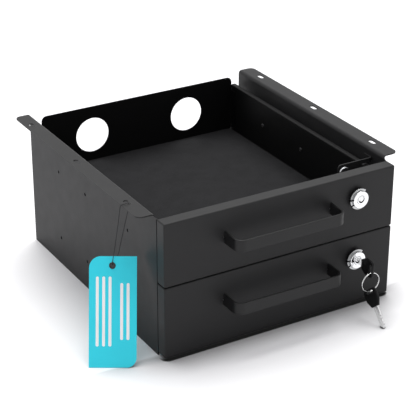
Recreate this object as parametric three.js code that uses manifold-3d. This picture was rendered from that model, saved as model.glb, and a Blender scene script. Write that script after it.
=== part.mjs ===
// Under-desk drawer safe: a folded steel cabinet with screw flanges, holding two
// locking drawers on telescopic ball slides. A key and a spare hang on the lower lock.
// Millimetres. X runs right along the fronts, Y runs back and Z runs up.
// Lengths in Y are written from the front edge of the cabinet's side walls, and the
// whole model is then moved so that its origin is the centre of the cabinet's base.

import * as THREE from 'three';
import { mergeVertices } from 'three/addons/utils/BufferGeometryUtils.js';
import Module from 'manifold-3d';

const wasm = await Module();
wasm.setup();

// Cabinet
const cabinetWidth = 340;
const cabinetDepth = 363;
const cabinetHeight = 194;
const cabinetSheet = 1.5;
const flangeWidth = 22.5;
const flangeBend = 5;
const flangeSetback = 5.2;
const flangeCorner = 8;
const slotLength = 14;
const slotWidth = 6.5;
const slotInset = 13;
const firstSlot = 49;
const slotPitch = 138;
const slotCount = 3;
const panLip = 16;
const panInset = 1;

// Drawer fronts
const frontThickness = 18.1;
const frontSheet = 1.2;
const frontLip = 12;
const frontBevel = 0.8;
const cabinetToFront = 0.6;
const frontFloorGap = 3.5;
const lowerFrontHeight = 98.6;
const frontSeam = 1.2;
const frontTopGap = 4.6;

// Drawer tubs
const tubSheet = 1;
const tubHeight = 71.6;
const tubRise = 0.6;
const tubBend = 2;
const tubFoldWidth = 7;
const tubFoldDrop = 4;
const tubFrontDrop = 3.5;
const backHeight = 83.6;
const backCorner = 8;
const backTab = 12;
const cableHole = 51;
const cableHoleSpread = 153;
const cableHoleRise = 40.4;
const linerThickness = 1.2;
const linerCorner = 6;
const linerInset = 1;
const sheetFit = 0.2;

// Ball slides, measured from the cabinet's inner face towards the drawer
const slideLength = 350;
const slideHeight = 35;
const slideWidth = 13.3;
const slideSheet = 1.2;
const slideRise = 37.4;
const slideSetback = 4;
const outerDepth = 9.9;
const outerHook = 1.5;
const middleDepth = 8.6;
const innerDepth = 7.6;
const ballDiameter = 3.6;
const ballFit = 0.25;
const raceDepth = 0.35;
const outerBallLine = 6.4;
const innerBallLine = 8.3;
const cageSheet = 0.5;
const cageLength = 130;
const cageStart = 110;
const ballsInRow = 3;
const slideScrew = 4.4;
const wallScrews = [75, 194.5, 275];
const tubScrews = [75, 173.5, 272];

// Handles
const handleLength = 160;
const handleReach = 33.5;
const handleHeight = 16;
const handleStrap = 3.2;
const handleBend = 12;
const handleCentre = -6.4;
const handleDrop = 37.8;
const handleScrew = 4.4;

// Cam locks
const lockCentre = 112;
const lockDrop = 31.8;
const lockFace = 23.2;
const lockProud = 9.3;
const lockNeck = 24.2;
const collarDiameter = 28.8;
const collarProud = 6;
const collarThickness = 2.2;
const collarFrom = 50;
const collarTo = 335;
const collarNotches = [177, 213];
const lockBarrel = 19;
const lockFlats = 16.4;
const barrelBehind = 10;
const lockBore = 12;
const lockNotch = 2.4;
const lockFit = 0.2;
const nutAcross = 24;
const nutThickness = 5;
const plugProud = 0.3;
const tailSize = 6;
const camReach = 30.2;
const camWidth = 14;
const camHeel = 9;
const camSheet = 2.2;
const camFit = 0.3;
const camScrewAcross = 8;
const camWasher = 12;

// Keepers that the cams turn into
const keeperSheet = 1.5;
const keeperFront = 7;
const keeperWeb = 28;
const keeperStart = 2;
const keeperLipStart = 14;
const keeperSink = 12;
const keeperTop = 25.4;
const keeperNose = 5;
const keeperLipHeight = 20;
const keeperBridge = 19.6;
const keeperLeg = 15;
const keeperGap = 4.5;

// Keys and ring
const keyThickness = 2;
const keyHeight = 7.8;
const keyLength = 30;
const keyPoint = 4;
const keyCuts = [1.4, 2.2, 0.9, 1.9];
const keyCutPitch = 4.1;
const keySlotFit = 0.25;
const keyTang = 10;
const bowLength = 24;
const bowWidth = 23.6;
const bowNeck = 13;
const bowNeckLength = 7;
const bowThickness = 3.6;
const bowCorner = 5;
const bowEyeWidth = 4.4;
const bowEyeLength = 13;
const bowEyeMargin = 1.8;
const bowStandoff = 8.6;
const ringDiameter = 28.2;
const ringWire = 1.8;
const ringFit = 0.3;
const spareTwist = THREE.MathUtils.degToRad(-10);
const spareTipGap = 0.9;

// Swing tag on its string
const tagWidth = 58.8;
const tagHeight = 137;
const tagThickness = 1;
const tagTopCorner = 14.7;
const tagBottomCorner = 12.3;
const tagLean = THREE.MathUtils.degToRad(26.2);
const tagTurn = THREE.MathUtils.degToRad(30.6);
const tagFoot = new THREE.Vector3(-258, 16.5, 0.4);
const eyeletAcross = 28.7;
const eyeletDrop = 11.5;
const eyeletRim = 8.4;
const eyeletBore = 3.8;
const eyeletSheet = 0.6;
const eyeletFit = 0.2;
const stringDiameter = 1;

// Places that follow from the sizes
const wallFace = cabinetWidth / 2;
const wallInside = wallFace - cabinetSheet;
const tubHalf = wallInside - slideWidth;
const tubInside = tubHalf - tubSheet;
const frontBack = -cabinetToFront;
const frontFace = frontBack - frontThickness;
const lowerFrontTop = frontFloorGap + lowerFrontHeight;
const upperFrontBottom = lowerFrontTop + frontSeam;
const upperFrontTop = cabinetHeight - frontTopGap;
const tubBack = cabinetDepth - cabinetSheet - tubSheet;
const lockFrontFace = frontFace - lockProud;
const camFront = barrelBehind + lockFit;
const sheetArcSteps = 3;
const cornerSteps = 6;
const handleArcSteps = 7;
const collarSteps = 19;

const levels = {
  lower: { bottom: frontFloorGap, top: lowerFrontTop },
  upper: { bottom: upperFrontBottom, top: upperFrontTop },
};

const blackCoat = steelPaint(0x3b3b3d, 0.55);
const drawerCoat = steelPaint(0x2c2c2e, 0.6);
const felt = new THREE.MeshStandardMaterial({ color: 0x343436, roughness: 0.95, metalness: 0 });
const chrome = new THREE.MeshStandardMaterial({ color: 0xd8dade, roughness: 0.15, metalness: 1 });
const zinc = new THREE.MeshStandardMaterial({ color: 0xb4b7bb, roughness: 0.35, metalness: 1 });
const ballSteel = new THREE.MeshStandardMaterial({ color: 0x8f9296, roughness: 0.3, metalness: 1 });
const keyPlastic = new THREE.MeshStandardMaterial({ color: 0x151516, roughness: 0.4, metalness: 0 });
const tagCard = new THREE.MeshStandardMaterial({ color: 0x35c3d9, roughness: 0.6, metalness: 0 });
const eyeletPaint = new THREE.MeshStandardMaterial({ color: 0x1c1c1e, roughness: 0.4, metalness: 0.6 });
const thread = new THREE.MeshStandardMaterial({ color: 0x18181a, roughness: 0.9, metalness: 0 });

function steelPaint(color, roughness) {
  return new THREE.MeshStandardMaterial({ color, roughness, metalness: 0.1 });
}

// Solids and meshes

function toSolid(geometry) {
  geometry.deleteAttribute('normal');
  geometry.deleteAttribute('uv');
  const merged = mergeVertices(geometry, 1e-4);
  const mesh = new wasm.Mesh({
    numProp: 3,
    vertProperties: new Float32Array(merged.attributes.position.array),
    triVerts: new Uint32Array(merged.index.array),
  });
  return new wasm.Manifold(mesh);
}

function toGeometry(solid) {
  const { vertProperties, triVerts } = solid.getMesh();
  const geometry = new THREE.BufferGeometry();
  geometry.setAttribute('position', new THREE.BufferAttribute(vertProperties, 3));
  geometry.setIndex(new THREE.BufferAttribute(triVerts, 1));
  geometry.computeVertexNormals();
  return geometry;
}

function addPiece(parent, name, material, solid) {
  const mesh = new THREE.Mesh(toGeometry(solid), material);
  mesh.name = name;
  parent.add(mesh);
}

function cut(solid, tools) {
  return tools.reduce((rest, tool) => rest.subtract(tool), solid);
}

function join(solids) {
  return solids.reduce((whole, solid) => whole.add(solid));
}

// Flat outlines

function polygon(points) {
  return new THREE.Shape(points.map(([a, b]) => new THREE.Vector2(a, b)));
}

// A rectangle whose corners are rounded by [lower left, lower right, upper right, upper left].
function roundedRect(a0, b0, a1, b1, radii) {
  const [lowLeft, lowRight, highRight, highLeft] = radii;
  const shape = new THREE.Shape();
  shape.moveTo(a0 + lowLeft, b0);
  shape.lineTo(a1 - lowRight, b0);
  if (lowRight) shape.absarc(a1 - lowRight, b0 + lowRight, lowRight, -Math.PI / 2, 0);
  shape.lineTo(a1, b1 - highRight);
  if (highRight) shape.absarc(a1 - highRight, b1 - highRight, highRight, 0, Math.PI / 2);
  shape.lineTo(a0 + highLeft, b1);
  if (highLeft) shape.absarc(a0 + highLeft, b1 - highLeft, highLeft, Math.PI / 2, Math.PI);
  shape.lineTo(a0, b0 + lowLeft);
  if (lowLeft) shape.absarc(a0 + lowLeft, b0 + lowLeft, lowLeft, Math.PI, Math.PI * 1.5);
  return shape;
}

function evenRect(a0, b0, a1, b1, radius) {
  return roundedRect(a0, b0, a1, b1, [radius, radius, radius, radius]);
}

// A slot with round ends, centred, with its length along a or b.
function roundSlot(centreA, centreB, sizeA, sizeB) {
  const radius = Math.min(sizeA, sizeB) / 2 - 1e-3;
  const halfA = sizeA / 2;
  const halfB = sizeB / 2;
  return evenRect(centreA - halfA, centreB - halfB, centreA + halfA, centreB + halfB, radius);
}

function hexagon(centreA, centreB, across) {
  const radius = across / Math.sqrt(3);
  const corner = (i) => [
    centreA + radius * Math.cos((i * Math.PI) / 3),
    centreB + radius * Math.sin((i * Math.PI) / 3),
  ];
  return polygon([0, 1, 2, 3, 4, 5].map(corner));
}

function arcPoints(centreA, centreB, radius, fromDegrees, toDegrees, steps = sheetArcSteps) {
  const points = [];
  for (let i = 0; i <= steps; i += 1) {
    const angle = THREE.MathUtils.degToRad(fromDegrees + ((toDegrees - fromDegrees) * i) / steps);
    points.push([centreA + radius * Math.cos(angle), centreB + radius * Math.sin(angle)]);
  }
  return points;
}

// Extrusions: the outline's two axes are the two that are left, in the order X, Y, Z.

function extrude(shape, depth, options) {
  const settings = { depth, bevelEnabled: false, curveSegments: 4, steps: 1, ...options };
  return new THREE.ExtrudeGeometry(shape, settings);
}

function alongX(shape, from, to, options) {
  const geometry = extrude(shape, to - from, options);
  const turn = new THREE.Matrix4().makeBasis(
    new THREE.Vector3(0, 1, 0),
    new THREE.Vector3(0, 0, 1),
    new THREE.Vector3(1, 0, 0),
  );
  return toSolid(geometry.applyMatrix4(turn).translate(from, 0, 0));
}

function alongY(shape, from, to, options) {
  const geometry = extrude(shape, to - from, options);
  return toSolid(geometry.rotateX(Math.PI / 2).translate(0, to, 0));
}

function alongZ(shape, from, to, options) {
  return toSolid(extrude(shape, to - from, options).translate(0, 0, from));
}

function block(x0, x1, y0, y1, z0, z1) {
  const geometry = new THREE.BoxGeometry(x1 - x0, y1 - y0, z1 - z0);
  return toSolid(geometry.translate((x0 + x1) / 2, (y0 + y1) / 2, (z0 + z1) / 2));
}

function rodX(diameter, y, z, from, to, sides = 8) {
  const geometry = new THREE.CylinderGeometry(diameter / 2, diameter / 2, to - from, sides);
  return toSolid(geometry.rotateZ(Math.PI / 2).translate((from + to) / 2, y, z));
}

function rodY(diameter, x, z, from, to, sides = 24) {
  const geometry = new THREE.CylinderGeometry(diameter / 2, diameter / 2, to - from, sides);
  return toSolid(geometry.translate(x, (from + to) / 2, z));
}

// A body turned about a line along Y, from [radius, y] points that close on themselves.
function turnedY(points, x, z, sides = 24) {
  const profile = [...points, points[0]].map(([radius, y]) => new THREE.Vector2(radius, y));
  return toSolid(new THREE.LatheGeometry(profile.reverse(), sides).translate(x, 0, z));
}

// Mirrors an outline point about the cabinet's middle plane when side is -1.
function sided(side, points) {
  const placed = points.map(([a, b]) => [a * side, b]);
  return side > 0 ? placed : placed.reverse();
}

// Cabinet

function sideWallOutline(side) {
  const underside = cabinetHeight - cabinetSheet;
  const bendCentre = wallInside + flangeBend;
  const bendLevel = cabinetHeight - flangeBend;
  return polygon(sided(side, [
    [wallInside, 0],
    [wallFace, 0],
    ...arcPoints(bendCentre, bendLevel, flangeBend - cabinetSheet, 180, 90),
    [wallFace + flangeWidth, underside],
    [wallFace + flangeWidth, cabinetHeight],
    ...arcPoints(bendCentre, bendLevel, flangeBend, 90, 180),
  ]));
}

// The square outside a rounded flange corner at x, y, with the flange on the inward side.
function cornerCutter(x, y, inwardX, inwardY) {
  const spare = 1;
  const arc = arcPoints(0, 0, flangeCorner, 90, 0, cornerSteps);
  const far = flangeCorner + spare;
  const outline = [[far, 0], [far, far], [0, far]];
  const centreX = x + inwardX * flangeCorner;
  const centreY = y + inwardY * flangeCorner;
  const placed = [...outline, ...arc].map(([a, b]) => [centreX - inwardX * a, centreY - inwardY * b]);
  const points = inwardX * inwardY > 0 ? placed : placed.reverse();
  return alongZ(polygon(points), cabinetHeight - 2 * cabinetSheet, cabinetHeight + spare);
}

// The relief that lets the front close under the flange: a hollow quarter round.
function frontRelief() {
  const spare = 1;
  const outline = [
    [-spare, cabinetHeight + spare],
    [-spare, cabinetHeight - flangeSetback],
    ...arcPoints(0, cabinetHeight, flangeSetback, -90, 0),
    [flangeSetback, cabinetHeight + spare],
  ];
  const reach = wallFace + flangeWidth + spare;
  return alongX(polygon(outline), -reach, reach);
}

function slideLevel(level) {
  return levels[level].bottom + tubRise + slideRise;
}

function sidePanel(side) {
  const edge = side * (wallFace + flangeWidth);
  const slotLine = side * (wallFace + slotInset);
  const cutters = [
    frontRelief(),
    cornerCutter(edge, flangeSetback, -side, 1),
    cornerCutter(edge, cabinetDepth, -side, -1),
  ];
  for (let i = 0; i < slotCount; i += 1) {
    const slot = roundSlot(slotLine, firstSlot + i * slotPitch, slotWidth, slotLength);
    cutters.push(alongZ(slot, cabinetHeight - 2 * cabinetSheet, cabinetHeight + 1));
  }
  for (const level of Object.keys(levels)) {
    for (const y of wallScrews) {
      const ends = [side * (wallInside - 1), side * (wallFace + 1)].sort((a, b) => a - b);
      cutters.push(rodX(slideScrew, y, slideLevel(level), ...ends));
    }
  }
  return cut(alongY(sideWallOutline(side), 0, cabinetDepth), cutters);
}

function bottomPan() {
  const half = wallInside;
  const front = panInset;
  const back = cabinetDepth - panInset;
  const tray = block(-half, half, front, back, 0, panLip);
  const inner = block(
    -half + cabinetSheet,
    half - cabinetSheet,
    front - 1,
    back - cabinetSheet,
    cabinetSheet,
    panLip + 1,
  );
  return tray.subtract(inner);
}

// A channel bracket on the right wall: the cam turns in behind its front lip.
function keeper(level) {
  const lockLevel = levels[level].top - lockDrop;
  const top = lockLevel + keeperTop;
  const floor = lockLevel - keeperSink;
  const left = lockCentre + keeperStart;
  const lipLeft = lockCentre + keeperLipStart;
  const right = tubInside - keeperGap;
  const web = polygon([
    [left, lockLevel],
    [lipLeft, floor],
    [right, floor],
    [right, lockLevel + keeperBridge],
    [wallInside, lockLevel + keeperBridge],
    [wallInside, top],
    ...arcPoints(left + keeperNose, top - keeperNose, keeperNose, 90, 180),
  ]);
  const webBack = keeperWeb + keeperSheet;
  const bridge = lockLevel + keeperBridge;
  return join([
    alongY(web, keeperWeb, webBack),
    block(lipLeft, right, keeperFront, webBack, floor, floor + keeperSheet),
    block(lipLeft, right, keeperFront, keeperFront + keeperSheet, floor, floor + keeperLipHeight),
    block(wallInside - keeperSheet, wallInside, keeperWeb, webBack + keeperLeg, bridge, top),
  ]);
}

// Ball slides: an outer channel on the cabinet, a middle channel, and an inner one on the drawer.

const ballReach = ballDiameter / 2 + ballFit - raceDepth;
const outerHalf = slideHeight / 2;
const outerBallRow = outerHalf - slideSheet - ballReach;
const middleHalf = outerBallRow - ballReach;
const innerBallRow = middleHalf - slideSheet - ballReach;
const innerHalf = innerBallRow - ballReach;
const cageGap = 0.35;
const outerCageFace = slideSheet + cageGap;
const middleFace = outerCageFace + cageSheet + cageGap;
const innerCageFace = middleFace + slideSheet + cageGap;

// Outline of a channel that opens away from its web; hook turns its free edges in.
function channelOutline(web, mouth, half, thickness, hook) {
  const toMouth = Math.sign(mouth - web);
  const inner = web + toMouth * thickness;
  const hookInner = mouth - toMouth * thickness;
  const upper = [
    [mouth, half],
    [mouth, half - thickness - hook],
    [hookInner, half - thickness - hook],
    [hookInner, half - thickness],
    [inner, half - thickness],
  ];
  const lower = upper.map(([a, b]) => [a, -b]).reverse();
  const points = [[web, half], ...upper, ...lower, [web, -half]];
  return toMouth > 0 ? points.reverse() : points;
}

// Turns a slide point, given as distance from the cabinet's inner face, into X and Z.
function slidePoints(side, level, points) {
  const placed = points.map(([u, v]) => [side * (wallInside - u), slideLevel(level) + v]);
  return side > 0 ? placed.reverse() : placed;
}

function races(side, level, line, row, start) {
  const groove = ballDiameter + 2 * ballFit;
  return [-1, 1].map((upDown) => rodY(
    groove,
    side * (wallInside - line),
    slideLevel(level) + upDown * row,
    start - 1,
    start + slideLength + 1,
    12,
  ));
}

function slideChannel(side, level, member) {
  const { web, mouth, half, hook } = member;
  const start = slideSetback;
  const outline = polygon(slidePoints(side, level, channelOutline(web, mouth, half, slideSheet, hook)));
  const cutters = member.races.flatMap(([line, row]) => races(side, level, line, row, start));
  const ends = [-2, 2].map((sheets) => side * (wallInside - web + sheets * slideSheet));
  ends.sort((a, b) => a - b);
  cutters.push(...member.screws.map((y) => rodX(slideScrew, y, slideLevel(level), ...ends)));
  return cut(alongY(outline, start, start + slideLength), cutters);
}

const outerMember = {
  web: 0,
  mouth: outerDepth,
  half: outerHalf,
  hook: outerHook,
  races: [[outerBallLine, outerBallRow]],
  screws: wallScrews,
};
const middleMember = {
  web: middleFace,
  mouth: middleFace + middleDepth,
  half: middleHalf,
  hook: 0,
  races: [[outerBallLine, outerBallRow], [innerBallLine, innerBallRow]],
  screws: [],
};
const innerMember = {
  web: slideWidth,
  mouth: slideWidth - innerDepth,
  half: innerHalf,
  hook: 0,
  races: [[innerBallLine, innerBallRow]],
  screws: tubScrews,
};

// A cage strip whose two arms reach out to the balls and hold them in two rows.
function ballCage(side, level, face, line, row) {
  const arm = row + cageSheet / 2;
  const strip = polygon(slidePoints(side, level, [
    [face, -arm],
    [line, -arm],
    [line, -arm + cageSheet],
    [face + cageSheet, -arm + cageSheet],
    [face + cageSheet, arm - cageSheet],
    [line, arm - cageSheet],
    [line, arm],
    [face, arm],
  ]));
  const pitch = cageLength / ballsInRow;
  const balls = [];
  for (let i = 0; i < ballsInRow; i += 1) {
    for (const upDown of [-1, 1]) {
      const ball = new THREE.SphereGeometry(ballDiameter / 2, 6, 4);
      balls.push(toSolid(ball.translate(
        side * (wallInside - line),
        cageStart + (i + 0.5) * pitch,
        slideLevel(level) + upDown * row,
      )));
    }
  }
  return join([alongY(strip, cageStart, cageStart + cageLength), ...balls]);
}

// Drawers

function lockLevelOf(level) {
  return levels[level].top - lockDrop;
}

// The round hole that a lock's barrel passes through, in the sheet that starts at y.
function lockClearance(level, y) {
  return rodY(lockBarrel + 2 * lockFit, lockCentre, lockLevelOf(level), y - 1, y + 2 * frontSheet);
}

function handleEnds() {
  const half = handleLength / 2 - handleStrap / 2;
  return [handleCentre - half, handleCentre + half];
}

function frontPanel(level) {
  const { bottom, top } = levels[level];
  const half = wallFace;
  const bevel = {
    curveSegments: 2,
    bevelEnabled: true,
    bevelThickness: frontBevel,
    bevelSize: frontBevel,
    bevelOffset: -frontBevel,
    bevelSegments: 1,
  };
  const outline = evenRect(-half, bottom, half, top, frontBevel * 1.5);
  const outer = alongY(outline, frontFace + frontBevel, frontBack - frontBevel, bevel);
  const inset = frontSheet;
  const hollow = block(
    -half + inset,
    half - inset,
    frontFace + inset,
    frontBack - inset,
    bottom + inset,
    top - inset,
  );
  const mouth = block(
    -half + frontLip,
    half - frontLip,
    frontBack - 2 * inset,
    frontBack + 1,
    bottom + frontLip,
    top - frontLip,
  );
  const handleLevel = top - handleDrop;
  const holes = handleEnds().map((x) => rodY(handleScrew, x, handleLevel, frontFace - 1, frontFace + 3, 12));
  const lockHole = lockClearance(level, frontFace);
  return cut(outer, [hollow, mouth, lockHole, ...holes]);
}

// One folded sheet: floor, two sides with their tops rolled outwards, and the front wall.
function tub(level) {
  const floor = levels[level].bottom + tubRise;
  const top = floor + tubHeight;
  const bendIn = tubBend - tubSheet;
  const fold = tubHalf + tubFoldWidth;
  const right = [
    ...arcPoints(tubHalf - tubBend, floor + tubBend, tubBend, -90, 0),
    ...arcPoints(tubHalf + bendIn, top - tubBend, bendIn, 180, 90),
    [fold - tubSheet, top - tubSheet],
    [fold - tubSheet, top - tubFoldDrop],
    [fold, top - tubFoldDrop],
    ...arcPoints(fold - bendIn, top - bendIn, bendIn, 0, 90),
    ...arcPoints(tubInside + tubBend, top - tubBend, tubBend, 90, 180),
    ...arcPoints(tubInside - bendIn, floor + tubSheet + bendIn, bendIn, 0, -90),
  ];
  const left = right.map(([a, b]) => [-a, b]).reverse();
  const trough = alongY(polygon([...right, ...left]), frontBack, tubBack);
  const wallHalf = tubInside + tubSheet / 2;
  const wallTop = levels[level].top - tubFrontDrop;
  const wall = block(-wallHalf, wallHalf, frontBack, frontBack + tubSheet, floor + tubSheet / 2, wallTop);
  const lockHole = lockClearance(level, frontBack);
  const screws = tubScrews.flatMap((y) => [-1, 1].map((side) => {
    const ends = [side * (tubInside - 1), side * (tubHalf + 1)].sort((a, b) => a - b);
    return rodX(slideScrew, y, slideLevel(level), ...ends);
  }));
  return cut(trough.add(wall), [lockHole, ...screws]);
}

// The raised back wall with two cable holes, and tabs that run along the tub's sides.
function backPanel(level) {
  const floor = levels[level].bottom + tubRise;
  const half = tubInside - sheetFit;
  const foot = floor + tubSheet + sheetFit;
  const corners = [tubBend, tubBend, backCorner, backCorner];
  const outline = roundedRect(-half, foot, half, floor + backHeight, corners);
  const plate = alongY(outline, tubBack - tubSheet, tubBack, { curveSegments: 8 });
  const tabTop = floor + tubHeight - backCorner;
  const tabBack = tubBack - tubSheet / 2;
  const tabs = [-1, 1].map((side) => {
    const ends = [side * (half - tubSheet), side * half].sort((a, b) => a - b);
    return block(...ends, tabBack - backTab, tabBack, foot + backCorner, tabTop);
  });
  const holes = [-1, 1].map((side) => rodY(
    cableHole,
    (side * cableHoleSpread) / 2,
    floor + cableHoleRise,
    tubBack - 2 * tubSheet,
    tubBack + tubSheet,
    32,
  ));
  return cut(join([plate, ...tabs]), holes);
}

function liner(level) {
  const floor = levels[level].bottom + tubRise + tubSheet;
  const half = tubInside - tubSheet - sheetFit - linerInset;
  const front = frontBack + tubSheet + linerInset;
  const back = tubBack - tubSheet - sheetFit;
  const outline = evenRect(-half, front, half, back, linerCorner);
  return alongZ(outline, floor, floor + linerThickness);
}

function handle(level) {
  const centre = levels[level].top - handleDrop;
  const left = handleCentre - handleLength / 2;
  const right = handleCentre + handleLength / 2;
  const nose = frontFace - handleReach;
  const innerBend = handleBend - handleStrap;
  const outline = polygon([
    [left, frontFace],
    ...arcPoints(left + handleBend, nose + handleBend, handleBend, 180, 270, handleArcSteps),
    ...arcPoints(right - handleBend, nose + handleBend, handleBend, 270, 360, handleArcSteps),
    [right, frontFace],
    [right - handleStrap, frontFace],
    ...arcPoints(right - handleBend, nose + handleBend, innerBend, 360, 270, handleArcSteps),
    ...arcPoints(left + handleBend, nose + handleBend, innerBend, 270, 180, handleArcSteps),
    [left + handleStrap, frontFace],
  ]);
  return alongZ(outline, centre - handleHeight / 2, centre + handleHeight / 2);
}

// Cam locks

// A spacer holds the lock's face off the front. Its rim is open on the right, and notched.
function lockCollar(level) {
  const z = lockLevelOf(level);
  const front = frontFace - collarProud;
  const bore = lockBarrel / 2 + lockFit;
  const neck = lockNeck / 2;
  const spacer = turnedY([[bore, front], [bore, frontFace], [neck, frontFace], [neck, front]], lockCentre, z);
  const rim = alongY(polygon([
    ...arcPoints(lockCentre, z, collarDiameter / 2, collarFrom, collarTo, collarSteps),
    ...arcPoints(lockCentre, z, (bore + neck) / 2, collarTo, collarFrom, collarSteps),
  ]), front, front + collarThickness);
  const notches = collarNotches.map((degrees) => {
    const notch = new THREE.BoxGeometry(lockFace, 2 * collarThickness, lockNotch);
    notch.translate(lockFace, 0, 0).rotateY(-THREE.MathUtils.degToRad(degrees));
    return toSolid(notch.translate(lockCentre, front, z));
  });
  return cut(spacer.add(rim), notches);
}

function lockHousing(level) {
  const z = lockLevelOf(level);
  const bore = lockBore / 2;
  const face = lockFace / 2;
  const chamfer = 0.8;
  const faceBack = frontFace - collarProud;
  const body = turnedY([
    [bore, lockFrontFace],
    [bore, barrelBehind],
    [lockBarrel / 2, barrelBehind],
    [lockBarrel / 2, faceBack],
    [face, faceBack],
    [face, lockFrontFace + chamfer],
    [face - chamfer, lockFrontFace],
  ], lockCentre, z);
  const cutters = [-1, 1].map((side) => {
    const ends = [side * (lockFlats / 2), side * lockBarrel].sort((a, b) => a - b);
    const [from, to] = ends.map((x) => lockCentre + x);
    return block(from, to, frontFace, barrelBehind + 1, z - lockBarrel, z + lockBarrel);
  });
  return cut(body, cutters);
}

function lockNut(level) {
  const z = lockLevelOf(level);
  const start = frontBack + tubSheet;
  const nut = alongY(hexagon(lockCentre, z, nutAcross), start, start + nutThickness);
  return nut.subtract(rodY(lockBarrel + 2 * lockFit, lockCentre, z, start - 1, start + nutThickness + 1, 32));
}

function lockPlug(level) {
  const z = lockLevelOf(level);
  const front = lockFrontFace - plugProud;
  const body = rodY(lockBore - 2 * lockFit, lockCentre, z, front, barrelBehind + lockFit / 2, 32);
  const half = tailSize / 2;
  const tailEnd = camFront + camSheet;
  const tail = block(lockCentre - half, lockCentre + half, barrelBehind, tailEnd, z - half, z + half);
  const slotDepth = keyLength - bowStandoff + 1;
  const keyway = block(
    lockCentre - keyThickness / 2 - keySlotFit,
    lockCentre + keyThickness / 2 + keySlotFit,
    front - 1,
    lockFrontFace + slotDepth,
    z - keyHeight / 2 - keySlotFit,
    z + keyHeight / 2 + keySlotFit,
  );
  return body.add(tail).subtract(keyway);
}

// The cam points up when the lock is open.
function cam(level) {
  const z = lockLevelOf(level);
  const half = camWidth / 2;
  const outline = evenRect(lockCentre - half, z - camHeel, lockCentre + half, z + camReach, half - 0.01);
  const hole = tailSize / 2 + camFit;
  const start = camFront + camFit / 2;
  const end = start + camSheet;
  const square = block(lockCentre - hole, lockCentre + hole, start - 1, end + 1, z - hole, z + hole);
  return alongY(outline, start, end).subtract(square);
}

function camScrew(level) {
  const z = lockLevelOf(level);
  const washerStart = camFront + camSheet + camFit;
  const washer = rodY(camWasher, lockCentre, z, washerStart, washerStart + 1.2);
  const head = alongY(hexagon(lockCentre, z, camScrewAcross), washerStart + 1, washerStart + 4.5);
  return washer.add(head);
}

// Keys, drawn with the blade pointing along +Y from the bow at y = 0

function keyBlade() {
  const half = keyHeight / 2;
  const outline = [[-keyTang, -half + 1], [0, -half + 1], [0, -half]];
  keyCuts.forEach((depth, i) => {
    const middle = bowStandoff + 3 + i * keyCutPitch;
    const flank = keyCutPitch / 2 - 0.3;
    outline.push([middle - flank, -half], [middle - 0.5, -half + depth], [middle + 0.5, -half + depth]);
    outline.push([middle + flank, -half]);
  });
  outline.push([keyLength - keyPoint, -half], [keyLength, 0], [keyLength - keyPoint, half]);
  outline.push([0, half], [0, half - 1], [-keyTang, half - 1]);
  return alongX(polygon(outline), -keyThickness / 2, keyThickness / 2);
}

function keyBow() {
  const half = bowWidth / 2;
  const neck = bowNeck / 2;
  const outline = polygon([
    [0, -neck],
    [0, neck],
    [-bowNeckLength, half - 1],
    ...arcPoints(-bowNeckLength - 3, half - 3, 3, 60, 90),
    ...arcPoints(-bowLength + bowCorner, half - bowCorner, bowCorner, 90, 180),
    ...arcPoints(-bowLength + bowCorner, -half + bowCorner, bowCorner, 180, 270),
    ...arcPoints(-bowNeckLength - 3, -half + 3, 3, 270, 300),
    [-bowNeckLength, -half + 1],
  ].reverse());
  const body = alongX(outline, -bowThickness / 2, bowThickness / 2);
  const eyeCentre = -bowLength + bowEyeMargin + bowEyeWidth / 2;
  const eye = alongX(roundSlot(eyeCentre, 0, bowEyeWidth, bowEyeLength), -bowThickness, bowThickness);
  const pocketHalf = keyHeight / 2 - 1 + keySlotFit;
  const pocketSide = keyThickness / 2 + keySlotFit;
  const pocket = block(-pocketSide, pocketSide, -keyTang - keySlotFit, 1, -pocketHalf, pocketHalf);
  return body.subtract(eye).subtract(pocket);
}

const bowFront = lockFrontFace - bowStandoff;
const wireSeat = bowEyeLength / 2 - ringWire / 2 - ringFit;
const eyeLine = bowLength - bowEyeMargin - bowEyeWidth / 2;
const ringRadius = (ringDiameter - ringWire) / 2;
const ringTop = new THREE.Vector3(lockCentre, bowFront - eyeLine, lockLevelOf('lower') - wireSeat);
const ringBottom = new THREE.Vector3(ringTop.x, ringTop.y, ringTop.z - 2 * ringRadius);

function keyRing() {
  const torus = new THREE.TorusGeometry(ringRadius, ringWire / 2, 6, 28);
  torus.rotateX(Math.PI / 2).translate(ringTop.x, ringTop.y, ringTop.z - ringRadius);
  return toSolid(torus);
}

// The spare hangs from the ring by its bow and leans, because its tip meets the floor.
function spareKeyGroup() {
  const seat = bowLength - bowEyeMargin - ringWire / 2 - ringFit;
  const reach = seat + keyLength;
  const lean = Math.acos((ringBottom.z - spareTipGap) / reach);
  const along = new THREE.Vector3(0, -Math.sin(lean), -Math.cos(lean));
  const across = new THREE.Vector3(1, 0, 0).applyAxisAngle(along, spareTwist);
  const up = new THREE.Vector3().crossVectors(across, along);
  const group = new THREE.Group();
  group.quaternion.setFromRotationMatrix(new THREE.Matrix4().makeBasis(across, along, up));
  group.position.copy(ringBottom).addScaledVector(along, seat);
  return group;
}

// Swing tag, drawn with its lower left corner at the origin and its face at z = 0

function tagGroup() {
  const right = new THREE.Vector3(Math.cos(tagTurn), -Math.sin(tagTurn), 0);
  const up = new THREE.Vector3(
    Math.sin(tagLean) * Math.sin(tagTurn),
    Math.sin(tagLean) * Math.cos(tagTurn),
    Math.cos(tagLean),
  );
  const face = new THREE.Vector3().crossVectors(right, up);
  const group = new THREE.Group();
  group.quaternion.setFromRotationMatrix(new THREE.Matrix4().makeBasis(right, up, face));
  group.position.copy(tagFoot);
  return group;
}

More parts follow.
